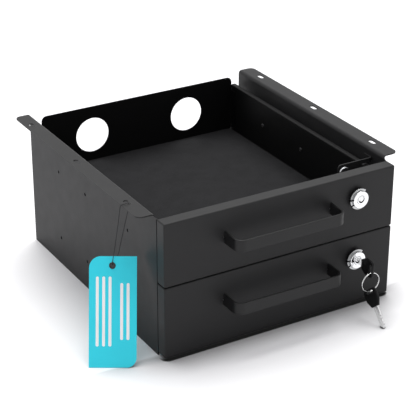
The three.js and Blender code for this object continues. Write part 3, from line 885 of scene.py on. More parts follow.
@dataclass(frozen=True)
class Card(Finish):
    """Coated card, printed in one colour over a trace of fibre."""

    patch: float = 24.0
    fibre: tuple[float, ...] = (420, 420, 1300)
    depth: float = 0.00001
    tones: ClassVar[Point] = (0.96, 1.04)
    hazes: ClassVar[Point] = (-0.04, 0.05)

    def dress(self, graph: Graph) -> None:
        """Shades the print by the card's fibres.

        Args:
            graph: The material's nodes.
        """
        fibre = graph.noise(1, 4, 0.6, graph.stretched(self.fibre))
        tone = graph.added(graph.noise(self.patch, 2), fibre, 0.4)
        self.tint(graph, graph.ranged(tone, 0, 1, 0.4, 1.0))
        self.dull(graph, fibre)
        graph.bump(fibre, self.depth)


@dataclass(frozen=True)
class Thread(Finish):
    """Waxed thread, with fine hairs along its twist."""

    hair: tuple[float, ...] = (2600, 2600, 500)
    depth: float = 0.00003
    tones: ClassVar[Point] = (0.6, 1.8)

    def dress(self, graph: Graph) -> None:
        """Streaks the colour along the strands.

        Args:
            graph: The material's nodes.
        """
        graph.fix(Roughness=self.roughness)
        hairs = graph.noise(1, 3, 0.6, graph.stretched(self.hair))
        self.tint(graph, hairs)
        graph.bump(hairs, self.depth)


COAT = PowderCoat("satin black coat", "black_coat", (0.0205, 0.0205, 0.021), 0.46, shine=0.17)
HANDLE_COAT = PowderCoat("handle coat", "black_coat", (0.0085, 0.0085, 0.0089), 0.4, shine=0.27)
DRAWER_COAT = PowderCoat("matt black coat", "drawer_coat", (0.0025, 0.0025, 0.0027), 0.5, shine=0.15)
FELT = Felt("drawer felt", "liner_felt", (0.0099, 0.0099, 0.0108), 0.95)
CHROME = PlatedMetal("lock chrome", "chrome", (0.86, 0.87, 0.88), 0.1)
DULL_CHROME = PlatedMetal("collar chrome", "chrome", (0.45, 0.455, 0.46), 0.2)
ZINC = PlatedMetal("bright zinc", "zinc", (0.62, 0.63, 0.65), 0.24, spread=0.12, depth=0.000004)
NICKEL = PlatedMetal("key nickel", "zinc", (0.78, 0.78, 0.78), 0.16, spread=0.08)
BALL_STEEL = PlatedMetal("oiled ball steel", "ball_steel", (0.46, 0.47, 0.49), 0.16)
KEY_PLASTIC = Moulding("key bow plastic", "key_plastic", (0.004, 0.004, 0.0044), 0.5, shine=0.15)
BLACK_OXIDE = Moulding("blackened screw steel", "black_coat", (0.014, 0.014, 0.015), 0.4)
CARD = Card("turquoise card", "tag_card", (0.026, 0.72, 0.87), 0.45)
WHITE_INK = Card("white ink", "tag_card", (0.97, 0.985, 0.985), 0.5)
ENAMEL = Moulding("black eyelet enamel", "eyelet_paint", (0.010, 0.010, 0.011), 0.25)
THREAD = Thread("black waxed thread", "thread", (0.008, 0.008, 0.009), 0.7)


def fit(
    name: str,
    solid: Solid,
    finish: Finish,
    body: str,
    *nodes: str,
    rim: float = 0.0,
    sharp: float = 35.0,
) -> bpy.types.Object:
    """Makes a piece of the object from a solid.

    Args:
        name: The piece's name.
        solid: Its solid, which is used up.
        finish: Its finish.
        body: The body that it rides on.
        *nodes: The solids that it stands for.
        rim: The width of a bevel on its sharp edges.
        sharp: The angle above which an edge stays sharp, in degrees.

    Returns:
        The piece.
    """
    obj = loose(solid, name)
    obj.data.materials.append(finish.material())
    if rim:
        bevel = obj.modifiers.new("rims", "BEVEL")
        bevel.width = rim
        bevel.segments = 2
        bevel.limit_method = "ANGLE"
        bevel.angle_limit = math.radians(sharp)
        bevel.use_clamp_overlap = True
    obj.data.polygons.foreach_set("use_smooth", [True] * len(obj.data.polygons))
    obj.data.set_sharp_from_angle(angle=math.radians(sharp))
    even = obj.modifiers.new("even normals", "WEIGHTED_NORMAL")
    even.keep_sharp = True
    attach(obj, body)
    if nodes:
        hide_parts(*nodes)
    return obj


def dress_node(node: str, finish: Finish) -> None:
    """Gives a kept solid its finish.

    Args:
        node: The solid's name.
        finish: Its finish.
    """
    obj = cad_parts[node]
    obj.data.materials.clear()
    obj.data.materials.append(finish.material())


@dataclass
class Studio:
    """The floor, with a contact shadow painted into its colour, the soft light and the camera."""

    focal: float = 128.0
    sensor: float = 36.0
    clip: Point = (0.05, 60.0)
    place: tuple[float, float, float] = (-0.9182, -1.5685, 0.9783)
    heading: float = 30.591
    dip: float = 26.172
    roll: float = 0.184
    floor: float = 14.0
    floor_tone: float = 0.95
    lift: float = 0.01
    # The floor's painted shadow: a near-black strip where things within the foot reach block much of the sky,
    # a lighter painted shade within the near reach, and none behind the front line along Y.
    foot_shadow_reach: float = 0.008
    foot_shadow_samples: int = 64
    foot_shadow_range: Point = (0.72, 0.8)
    near_shadow_reach: float = 0.045
    near_shadow_samples: int = 16
    near_shadow_range: Point = (0.55, 1.0)
    near_shadow_tone: float = 0.52
    shadow_front_line: Point = (-0.196, -0.18)
    low_sky: float = 0.12
    high_sky: float = 0.95
    tint: Colour = (0.975, 0.965, 1.0)
    key_strength: float = 2.55
    key_spread: float = 44.0
    key_from: tuple[float, float, float] = (0.22, 0.42, 1.3)

    def make_camera(self) -> None:
        """Sets the camera where the photograph was taken from."""
        data = bpy.data.cameras.new("camera")
        data.lens = self.focal
        data.sensor_width = self.sensor
        data.clip_start, data.clip_end = self.clip
        camera = bpy.data.objects.new("camera", data)
        bpy.context.scene.collection.objects.link(camera)
        heading = Matrix.Rotation(math.radians(-self.heading), 4, "Z")
        dip = Matrix.Rotation(math.radians(90 - self.dip), 4, "X")
        roll = Matrix.Rotation(math.radians(self.roll), 4, "Z")
        camera.matrix_world = Matrix.Translation(self.place) @ heading @ dip @ roll
        bpy.context.scene.camera = camera

    def make_floor(self) -> None:
        """Lays a floor, plain and pale, with a shadow painted into its colour under and just before the
        drawers' fronts.
        """
        half = self.floor / 2
        plane = bmesh.new()
        corners = [(-half, -half, 0), (half, -half, 0), (half, half, 0), (-half, half, 0)]
        plane.faces.new([plane.verts.new(corner) for corner in corners])
        floor = loose(plane, "floor")
        graph = Graph("floor with painted shadow")
        graph.fix(Roughness=0.9, Specular_IOR_Level=0.0, Emission_Color=(*WHITE, 1))
        # Painted shade: the floor's colour darkens where nearby geometry blocks the sky, but only in front of
        # the front line.
        foot = graph.clearance(self.foot_shadow_reach, self.foot_shadow_samples)
        foot = graph.ranged(foot, 0, self.near_shadow_tone, *self.foot_shadow_range)
        near = graph.clearance(self.near_shadow_reach, self.near_shadow_samples)
        near = graph.ranged(near, 0, 1 - self.near_shadow_tone, *self.near_shadow_range)
        behind = graph.ranged(graph.part_of(graph.place, Axis.Y), 0, 1, *self.shadow_front_line)
        # The painted shadow's share of the floor's tone: 0 is black, 1 is the floor's own tone.
        clear = graph.worked("MAXIMUM", graph.worked("ADD", foot, near), behind)
        tone = scaled(WHITE, self.floor_tone)
        graph.link(graph.blended(clear, BLACK, tone), "Base Color")
        lift = graph.worked("MULTIPLY", graph.seen_share(), self.lift)
        graph.link(lift, "Emission Strength")
        floor.data.materials.append(graph.material)

    def make_light(self) -> None:
        """Lights the object softly: an even surround and one broad key."""
        world = bpy.data.worlds.new("surround")
        bpy.context.scene.world = world
        tree = Tree(world)
        background = tree.nodes["Background"]
        seen = tree.seen_share()
        tree.links.new(tree.blended(seen, self.tint, WHITE), background.inputs["Color"])
        direction = tree.nodes.new("ShaderNodeTexCoord").outputs["Generated"]
        rise = tree.part_of(direction, Axis.Z)
        sky = tree.ranged(rise, self.low_sky, self.high_sky, 0, 1)
        strength = tree.nodes.new("ShaderNodeMix")
        strength.inputs["B"].default_value = 1.0
        tree.links.new(seen, strength.inputs["Factor"])
        tree.links.new(sky, strength.inputs["A"])
        tree.links.new(strength.outputs["Result"], background.inputs["Strength"])
        data = bpy.data.lights.new("key", "SUN")
        data.energy = self.key_strength
        data.angle = math.radians(self.key_spread)
        key = bpy.data.objects.new("key", data)
        bpy.context.scene.collection.objects.link(key)
        key.rotation_mode = "QUATERNION"
        key.rotation_quaternion = Vector(self.key_from).to_track_quat("Z", "Y")

    def make_ready(self) -> None:
        """Sets how colours are shown."""
        bpy.context.scene.view_settings.view_transform = "Standard"


@dataclass
class SwingTag:
    """The card on its string, hung through the left flange's front slot.

    A group of rules is told as the place of its first line, how many lines it has, and where
    they start and end. The route is in millimetres, and its Y runs back from the cabinet's
    front edge. The valley between two plies is a share of the string's radius, and the
    eyelet's flat is a share of its sheet.
    """

    width: float = 0.0588
    height: float = 0.137
    thickness: float = 0.001
    lean: float = 26.2
    turned: float = 30.6
    foot: tuple[float, float, float] = (-0.258, -0.165, 0.0004)
    eyelet_across: float = 0.0287
    eyelet_drop: float = 0.0115
    eyelet_rim: float = 0.0042
    eyelet_bore: float = 0.0019
    eyelet_sheet: float = 0.0006
    eyelet_gap: float = 0.0002
    eyelet_flat: float = 0.15
    string: float = 0.001
    string_step: float = 0.0006
    ply: int = 3
    lay: float = 0.0032
    valley: float = 0.8
    rule_width: float = 0.0036
    rule_round: float = 0.00168
    rule_pitch: float = 0.0078
    ink: float = 0.00003
    depth_shift: float = -0.1815
    rules: ClassVar[list[tuple[float, int, float, float]]] = [
        (0.0085, 3, 0.026, 0.112),
        (0.0385, 2, 0.034, 0.104),
    ]
    route: ClassVar[list[tuple[float, float, float]]] = [
        (-182.4, 45.5, 191.4),
        (-182.4, 45.4, 193.3),
        (-183.4, 45.2, 194.9),
        (-185.4, 45.0, 195.4),
        (-188.4, 44.9, 195.1),
        (-191.4, 44.9, 195.2),
        (-193.8, 45.0, 194.2),
        (-195.0, 45.1, 191.4),
        (-195.7, 45.4, 186.0),
        (-197.7, 46.3, 168.5),
        (-200.3, 47.2, 151.0),
        (-202.8, 48.1, 133.6),
        (-204.7, 48.8, 121.0),
        (-205.4, 49.1, 116.1),
        (-205.5, 48.9, 114.9),
        (-205.3, 49.2, 113.7),
        (-204.8, 50.0, 112.9),
        (-204.2, 51.1, 112.6),
        (-203.6, 52.1, 113.0),
        (-203.2, 52.8, 114.0),
        (-201.6, 53.4, 116.7),
        (-198.6, 53.1, 120.0),
        (-195.5, 52.9, 123.8),
        (-191.9, 51.4, 140.7),
        (-188.4, 49.9, 157.6),
        (-184.9, 48.4, 174.5),
        (-182.1, 47.2, 188.0),
        (-181.4, 46.9, 191.4),
    ]

    def placing(self) -> Matrix:
        """Places the card, which is drawn in its own plane.

        Returns:
            The matrix from the card's own plane, with Z out of its face, to the frame.
        """
        turned, lean = math.radians(self.turned), math.radians(self.lean)
        right = Vector((math.cos(turned), -math.sin(turned), 0))
        up = Vector((math.sin(lean) * math.sin(turned), math.sin(lean) * math.cos(turned), math.cos(lean)))
        matrix = Matrix((right, up, right.cross(up))).transposed().to_4x4()
        return Matrix.Translation(self.foot) @ matrix

    def smooth_route(self) -> list[Vector]:
        """Smooths the string's route.

        Returns:
            Close points on a curve through the route's, in metres.
        """
        points = [Vector((x * MM, y * MM + self.depth_shift, z * MM)) for x, y, z in self.route]
        padded = [2 * points[0] - points[1], *points, 2 * points[-1] - points[-2]]
        line = []
        for before, start, end, after in zip(padded, padded[1:], padded[2:], padded[3:]):
            steps = max(3, round((end - start).length / self.string_step))
            for i in range(steps):
                line.append(self.between(before, start, end, after, i / steps))
        return [*line, points[-1]]

    @staticmethod
    def between(before: Vector, start: Vector, end: Vector, after: Vector, share: float) -> Vector:
        """A point on the centripetal curve through four points.

        Args:
            before: The point before the stretch.
            start: The stretch's start.
            end: Its end.
            after: The point after it.
            share: How far along the stretch, from 0 to 1.

        Returns:
            The point on the curve.
        """
        knots = [0.0]
        for a, b in ((before, start), (start, end), (end, after)):
            knots.append(knots[-1] + max((b - a).length, SAME_POINT) ** 0.5)
        t = knots[1] + (knots[2] - knots[1]) * share

        def blend(a: Vector, b: Vector, low: float, high: float) -> Vector:
            """The point between two, where t stands between their knots."""
            return a + (b - a) * ((t - low) / (high - low))

        first = blend(before, start, knots[0], knots[1])
        middle = blend(start, end, knots[1], knots[2])
        last = blend(end, after, knots[2], knots[3])
        first = blend(first, middle, knots[0], knots[2])
        last = blend(middle, last, knots[1], knots[3])
        return blend(first, last, knots[1], knots[2])

    def strands(self, turned: float) -> Outline:
        """The section of the string's plies.

        Args:
            turned: The angle that the twist has turned there, in radians.

        Returns:
            The section's outline.
        """
        corners = 6 * self.ply
        outline = []
        for i in range(corners):
            angle = 2 * math.pi * i / corners
            bulge = abs(math.cos(self.ply * (angle - turned) / 2))
            radius = self.string / 2 * (self.valley + (1 - self.valley) * bulge)
            outline.append((radius * math.cos(angle), radius * math.sin(angle)))
        return outline

    def make_string(self) -> bpy.types.Object:
        """Lays the twisted string along its route, through the eyelet and back.

        Returns:
            The string.
        """
        self.string_line = self.smooth_route()
        pairs = zip(self.string_line, self.string_line[1:])
        self.string_length = sum((b - a).length for a, b in pairs)
        twist = 2 * math.pi * self.string_length / self.lay
        solid = sweep(self.string_line, lambda share: self.strands(twist * share), Vector((0, 1, 0)))
        return fit("string", solid, THREAD, "cabinet", "tag_string", sharp=180)

    def make_eyelet(self) -> bpy.types.Object:
        """Rolls the eyelet's two rims over the card.

        Returns:
            The eyelet.
        """
        bore, sheet, gap = self.eyelet_bore, self.eyelet_sheet, self.eyelet_gap
        crown = (self.eyelet_rim - bore) / 2
        flat, rise = self.eyelet_flat * sheet, (1 - self.eyelet_flat) * sheet
        dome = arc((bore + crown, 0), crown, 0, 180, 10)
        front = [(radius, gap + flat + along * rise / crown) for radius, along in dome]
        back = [(radius, -self.thickness - along) for radius, along in reversed(front)]
        barrel = [(bore + sheet, -self.thickness - gap), (bore + sheet, gap)]
        solid = turn([*front, *back, *barrel], (0, 0, 0), Axis.Z, 40)
        centre = Matrix.Translation((self.eyelet_across, self.height - self.eyelet_drop, 0))
        moved(solid, self.placing() @ centre)
        return fit("eyelet", solid, ENAMEL, "cabinet", "tag_eyelet")

    def make_rules(self) -> None:
        """Prints the card's blank ruled lines, which run up it."""
        lines = []
        for first, count, bottom, top in self.rules:
            for i in range(count):
                left = first + i * self.rule_pitch
                low, high = (left, bottom), (left + self.rule_width, top)
                line = rounded(low, high, [self.rule_round] * 4, 4)
                lines.append(draw_out(line, Axis.Z, self.ink / 2, self.ink * 2))
        fit("ruled_lines", moved(together(lines), self.placing()), WHITE_INK, "cabinet")

    def build(self) -> None:
        """Builds the tag's string, eyelet and ruled lines, and dresses the card."""
        string = self.make_string()
        eyelet = self.make_eyelet()
        self.make_rules()
        dress_node("swing_tag", CARD)


def lock_axis(level: Level) -> Vector:
    """A point on the axis of a drawer's lock."""
    low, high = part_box(f"{level.value}_lock_plug")
    return (low + high) / 2


def lock_bore(level: Level, face: float, reach: float) -> Solid:
    """The cutter of a lock's hole in a drawer's sheet.

    Args:
        level: The lock's drawer.
        face: Where the sheet's face lies along Y.
        reach: How far the cutter reaches on both sides of it.

    Returns:
        The cutter.
    """
    axis = lock_axis(level)
    return rod(LOCK_HOLE / 2, -reach, reach, (axis.x, face, axis.z), Axis.Y, 48)


@dataclass
class SideWall:
    """One folded wall of the cabinet, with the screw flange at its top."""

    side: Side
    sheet: float = WALL_SHEET
    bend: float = 0.005
    setback: float = 0.0052
    corner: float = 0.008
    slot_length: float = 0.014
    slot_width: float = 0.0065
    slot_inset: float = 0.013
    first_slot: float = 0.049
    slot_pitch: float = 0.138
    slots: int = 3
    rim: float = 0.00025

    def __post_init__(self) -> None:
        """Reads the wall's reach from the frame."""
        low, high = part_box(f"{self.side.word}_side_panel")
        self.inside, self.edge = sorted((abs(low.x), abs(high.x)))
        self.front, self.back, self.top = low.y, high.y, high.z

    def corner_cutter(self, y: float, inward: int) -> Solid:
        """What lies outside one rounded corner of the flange.

        Args:
            y: Where the flange ends.
            inward: The sign of Y from there into the flange.

        Returns:
            The cutter.
        """
        round_line = arc((0, 0), self.corner, 90, 0, 10)
        far = self.corner + CLEAR
        square = [(far, 0), (far, far), (0, far)]
        sign, centre = self.side.value, self.edge - self.corner
        outline = [(sign * (centre + a), y + inward * (self.corner - b)) for a, b in [*square, *round_line]]
        return draw_out(outline, Axis.Z, self.top - 2 * self.sheet, self.top + CLEAR)

    def relief(self) -> Solid:
        """The cutter that hollows a quarter round in front of the flange.

        Returns:
            The cutter.
        """
        outline = [
            (-CLEAR, self.top + CLEAR),
            (-CLEAR, self.top - self.setback),
            *arc((0, self.top), self.setback, -90, 0, 10),
            (self.setback, self.top + CLEAR),
        ]
        outline = [(self.front + a, b) for a, b in outline]
        reach = self.edge + CLEAR
        return draw_out(outline, Axis.X, -reach, reach)

    def slide_levels(self) -> list[float]:
        """The heights of the two slides on this wall."""
        boxes = [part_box(f"{level.value}_{self.side.word}_slide_outer") for level in Level]
        return [(low.z + high.z) / 2 for low, high in boxes]

    def build(self) -> None:
        """Folds the wall and cuts its corners, slots and screw holes."""
        sign = self.side.value
        middle = self.sheet / 2
        fold = [
            (sign * (self.inside + middle), 0),
            (sign * (self.inside + middle), self.top - middle),
            (sign * self.edge, self.top - middle),
        ]
        wall = draw_out(folded(fold, self.sheet, self.bend - middle, 10), Axis.Y, self.front, self.back)
        cutters = [
            self.relief(),
            self.corner_cutter(self.front + self.setback, 1),
            self.corner_cutter(self.back, -1),
        ]
        line = sign * (self.inside + self.sheet + self.slot_inset)
        for i in range(self.slots):
            centre = (line, self.front + self.first_slot + i * self.slot_pitch)
            outline = slot(centre, self.slot_width, self.slot_length)
            cutters.append(draw_out(outline, Axis.Z, self.top - 2 * self.sheet, self.top + CLEAR))
        reach = 2 * self.sheet
        for level in self.slide_levels():
            for y in WALL_SCREWS:
                centre = (sign * self.inside, self.front + y, level)
                cutters.append(rod(SCREW_HOLE / 2, -reach, reach, centre, Axis.X))
        wall = combine(wall, cutters, Join.CUT)
        name = f"{self.side.word}_side_panel"
        fit(name + "_folded", wall, COAT, "cabinet", name, rim=self.rim)


@dataclass
class BottomPan:
    """The folded tray that ties the two walls together."""

    sheet: float = WALL_SHEET
    bend: float = 0.0025
    rim: float = 0.0002

    def build(self) -> None:
        """Folds the pan's floor, its two side lips and its back lip."""
        low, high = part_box("bottom_pan")
        middle = self.sheet / 2
        left, right, floor = low.x + middle, high.x - middle, low.z + middle
        fold = [(left, high.z), (left, floor), (right, floor), (right, high.z)]
        tray = draw_out(folded(fold, self.sheet, self.bend), Axis.Y, low.y, high.y)
        lip_line = high.y - middle
        fold = [(lip_line - 4 * self.bend, floor), (lip_line, floor), (lip_line, high.z)]
        lip = folded(fold, self.sheet, self.bend)
        back = draw_out(lip, Axis.X, low.x + 2 * self.bend, high.x - 2 * self.bend)
        cutter = box(
            (low.x - middle, high.y - self.bend, -middle),
            (high.x + middle, high.y + middle, self.bend),
        )
        tray = combine(combine(tray, [cutter], Join.CUT), [back], Join.ADD)
        fit("bottom_pan_folded", tray, COAT, "cabinet", "bottom_pan", rim=self.rim)


@dataclass
class Keeper:
    """A folded channel on the right wall, which the cam turns in behind."""

    level: Level
    sheet: float = WALL_SHEET
    bend: float = 0.002
    nose: float = 0.005
    lip_height: float = 0.020
    lip_inset: float = 0.012
    bridge: float = 0.0058
    wall_gap: float = 0.0188
    web_place: float = 0.021
    slant: float = 0.012
    rim: float = 0.0002

    def build(self) -> None:
        """Folds the web, floor and lip, and the leg on the wall."""
        node = f"{self.level.value}_keeper"
        low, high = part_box(node)
        middle = self.sheet / 2
        web, right = low.y + self.web_place, high.x - self.wall_gap
        lip_left = low.x + self.lip_inset
        lip_line, floor, web_line = low.y + middle, low.z + middle, web + middle
        outline = [
            (low.x, low.z + self.slant),
            (lip_left, low.z),
            (right, low.z),
            (right, high.z),
            *arc((low.x + self.nose, high.z - self.nose), self.nose, 90, 180, 10),
        ]
        plate = draw_out(outline, Axis.Y, web, web + self.sheet)
        fold = [(lip_line, low.z + self.lip_height), (lip_line, floor), (web_line, floor), (web_line, high.z)]
        channel = draw_out(folded(fold, self.sheet, self.bend), Axis.X, lip_left, right)
        fold = [(lip_left, web_line), (high.x - middle, web_line), (high.x - middle, high.y)]
        plan = folded(fold, self.sheet, self.bend + self.sheet, 10)
        leg = draw_out(plan, Axis.Z, high.z - self.bridge, high.z)
        notch = box(
            (low.x - CLEAR, web - CLEAR, low.z - CLEAR),
            (right + CLEAR, web + 2 * self.sheet, low.z + self.bend),
        )
        keeper = combine(combine(plate, [notch], Join.CUT), [channel, leg], Join.ADD)
        fit(f"{node}_folded", keeper, COAT, "cabinet", node, rim=self.rim)


@dataclass
class DrawerFront:
    """The folded pan that closes a drawer, with its strap handle."""

    level: Level
    sheet: float = 0.0012
    lip: float = 0.012
    edge: float = 0.0018
    corner: float = 0.002
    strap: float = 0.0032
    bend: float = 0.012
    strap_edge: float = 0.0009
    screw_shank: float = 0.0012
    screw_length: float = 0.006
    screw_gap: float = 0.0001
    screw_head: float = 0.0078
    head_side: float = 0.0008
    head_dome: float = 0.0016
    dome_angles: tuple[float, ...] = (0, 0.4, 0.8, 1.2)

    def handle_legs(self) -> list[Vector]:
        """Finds the handle's two feet.

        Returns:
            Their centres on the front's face.
        """
        low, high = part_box(f"{self.level.value}_handle")
        level = (low.z + high.z) / 2
        return [Vector((x, high.y, level)) for x in (low.x + self.strap / 2, high.x - self.strap / 2)]

    def make_panel(self) -> None:
        """Presses the pan and cuts its holes."""
        word = self.level.value
        low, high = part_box(f"{word}_front_panel")
        outline = rounded((low.x, low.z), (high.x, high.z), [self.corner] * 4, 5)
        panel = draw_out(outline, Axis.Y, low.y, high.y, self.edge, steps=5)
        inset = Vector((self.sheet,) * 3)
        hollow = box(low + inset, high - inset)
        mouth = box(
            (low.x + self.lip, high.y - 2 * self.sheet, low.z + self.lip),
            (high.x - self.lip, high.y + self.sheet, high.z - self.lip),
        )
        deep = 2 * self.sheet
        cutters = [hollow, mouth, lock_bore(self.level, low.y, deep)]
        for foot in self.handle_legs():
            cutters.append(rod(SCREW_HOLE / 2, -deep, deep, foot, Axis.Y))
        panel = combine(panel, cutters, Join.CUT)
        fit(f"{word}_front_pressed", panel, COAT, f"{word}_drawer", f"{word}_front_panel")

    def make_handle(self) -> None:
        """Bends the handle's strap."""
        word = self.level.value
        low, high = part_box(f"{word}_handle")
        middle = self.strap / 2
        fold = [
            (low.x + middle, high.y),
            (low.x + middle, low.y + middle),
            (high.x - middle, low.y + middle),
            (high.x - middle, high.y),
        ]
        section = folded(fold, self.strap, self.bend - middle, 14)
        strap = draw_out(section, Axis.Z, low.z, high.z, self.strap_edge, steps=4)
        fit(f"{word}_strap_handle", strap, HANDLE_COAT, f"{word}_drawer", f"{word}_handle")

    def make_handle_screws(self) -> None:
        """Drives the handle's two screws from behind."""
        word = self.level.value
        head, shank = self.screw_head / 2, self.screw_shank
        start = self.sheet + self.screw_gap
        side = start + self.head_side
        dome = [(head * math.cos(t), side + self.head_dome * math.sin(t)) for t in self.dome_angles]
        profile = [
            (0, start - self.screw_length),
            (shank, start - self.screw_length),
            (shank, start),
            (head, start),
            *dome,
            (0, side + self.head_dome),
        ]
        screws = [turn(profile, foot, Axis.Y, 24) for foot in self.handle_legs()]
        fit(f"{word}_handle_screws", together(screws), ZINC, f"{word}_drawer")

    def build(self) -> None:
        """Makes the panel, the handle and its screws."""
        self.make_panel()
        self.make_handle()
        self.make_handle_screws()


@dataclass
class Drawer:
    """A drawer's tub, raised back and felt liner.

    The screw heads' crown is told as shares of their radius and depth, their socket's floor
    as a share of the depth, and the taper of a shank's end as a share of its radius.
    """

    level: Level
    sheet: float = 0.001
    bend: float = 0.0015
    height: float = 0.0716
    fold: float = 0.007
    fold_drop: float = 0.004
    rim: float = 0.00015
    cable_hole: float = 0.051
    hole_spread: float = 0.153
    hole_rise: float = 0.0404
    back_corner: float = 0.008
    low_corner: float = 0.002
    back_edge: float = 0.0002
    tab: float = 0.012
    screw_head: float = 0.0058
    head_depth: float = 0.0011
    head_gap: float = 0.00002
    crown: ClassVar[list[Point]] = [(0.72, 0.94), (0.93, 0.6), (1.0, 0.1)]
    socket: float = 0.0012
    socket_rim: float = 0.0014
    socket_floor: float = 0.45
    shank: float = 0.0019
    shank_length: float = 0.004
    shank_point: float = 0.0006
    shank_taper: float = 0.6
    felt_edge: float = 0.0005
    felt_corner: float = 0.006

    def __post_init__(self) -> None:
        """Reads the tub's place from the frame."""
        self.word = self.level.value
        self.low, self.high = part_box(f"{self.word}_drawer_tub")
        self.half = self.high.x - self.fold
        self.body = f"{self.word}_drawer"

    def screw_places(self, side: Side) -> list[Vector]:
        """Finds where the slide's screws pass through the tub's side.

        Args:
            side: The side.

        Returns:
            The screws' places on the side's outer face.
        """
        low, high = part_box(f"{self.word}_{side.word}_slide_inner")
        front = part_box(f"{side.word}_side_panel")[0].y
        x = side.value * self.half
        return [Vector((x, front + y, (low.z + high.z) / 2)) for y in TUB_SCREWS]

    def make_tub(self) -> None:
        """Folds the floor and the sides, whose tops roll outwards, and adds the front wall."""
        middle = self.sheet / 2
        top, floor = self.low.z + self.height - middle, self.low.z + middle
        wall, lip = self.half - middle, self.half + self.fold - middle
        right = [(wall, floor), (wall, top), (lip, top), (lip, top + middle - self.fold_drop)]
        left = [(-x, z) for x, z in reversed(right)]
        section = folded([*left, *right], self.sheet, self.bend, 8)
        tub = draw_out(section, Axis.Y, self.low.y, self.high.y)
        front = box((-wall, self.low.y, floor), (wall, self.low.y + self.sheet, self.high.z))
        deep = 3 * self.sheet
        cutters = [lock_bore(self.level, self.low.y, deep)]
        for side in Side:
            cutters += [rod(SCREW_HOLE / 2, -deep, deep, place, Axis.X) for place in self.screw_places(side)]
        tub = combine(combine(tub, [front], Join.ADD), cutters, Join.CUT)
        name = f"{self.word}_drawer_tub"
        fit(f"{name}_folded", tub, DRAWER_COAT, self.body, name, rim=self.rim)

    def make_back(self) -> None:
        """Cuts the raised back wall with its cable holes and folds its two tabs."""
        name = f"{self.word}_drawer_back"
        low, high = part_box(name)
        radii = [self.low_corner, self.low_corner, self.back_corner, self.back_corner]
        outline = rounded((low.x, low.z), (high.x, high.z), radii, 10)
        level = self.low.z + self.hole_rise
        places = [(side.value * self.hole_spread / 2, level) for side in Side]
        holes = [circle(place, self.cable_hole / 2, 64) for place in places]
        plate = draw_out(outline, Axis.Y, high.y - self.sheet, high.y, self.back_edge, holes, 2)
        middle = self.sheet / 2
        tabs = []
        for side in Side:
            edge, line = side.value * (high.x - middle), high.y - middle
            fold = [(edge - side.value * self.tab, line), (edge, line), (edge, low.y)]
            plan = folded(fold, self.sheet, self.bend, 8)
            foot = low.z + self.back_corner
            tabs.append(draw_out(plan, Axis.Z, foot, self.low.z + self.height - self.back_corner))
        back = combine(plate, tabs, Join.ADD)
        fit(f"{name}_folded", back, DRAWER_COAT, self.body, name)

    def make_liner(self) -> None:
        """Lays the felt, which swells a little between its cut edges."""
        name = f"{self.word}_drawer_liner"
        low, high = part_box(name)
        outline = rounded((low.x, low.y), (high.x, high.y), [self.felt_corner] * 4, 8)
        felt = draw_out(outline, Axis.Z, low.z, high.z, self.felt_edge, steps=4)
        fit(f"{name}_felt", felt, FELT, self.body, name, sharp=60)

    def make_screws(self) -> None:
        """Drives the slides' screws, whose low heads show inside the tub."""
        head, depth, shank = self.screw_head / 2, self.head_depth, self.shank
        profile = [
            (0, -depth * self.socket_floor),
            (self.socket, -depth * self.socket_floor),
            (self.socket_rim, -depth),
            *[(head * a, -depth * b) for a, b in self.crown],
            (head, self.head_gap),
            (shank, self.head_gap),
            (shank, self.shank_length - self.shank_point),
            (shank * self.shank_taper, self.shank_length),
            (0, self.shank_length),
        ]
        screws = []
        for side in Side:
            out = side.value
            outward = [(radius, out * along) for radius, along in profile]
            for place in self.screw_places(side):
                inner = place - Vector((out * self.sheet, 0, 0))
                screws.append(turn(outward, inner, Axis.X, 24))
        fit(f"{self.word}_tub_screws", together(screws), BLACK_OXIDE, self.body)

    def build(self) -> None:
        """Makes the tub, the back, the liner and the screws."""
        self.make_tub()
        self.make_back()
        self.make_liner()
        self.make_screws()


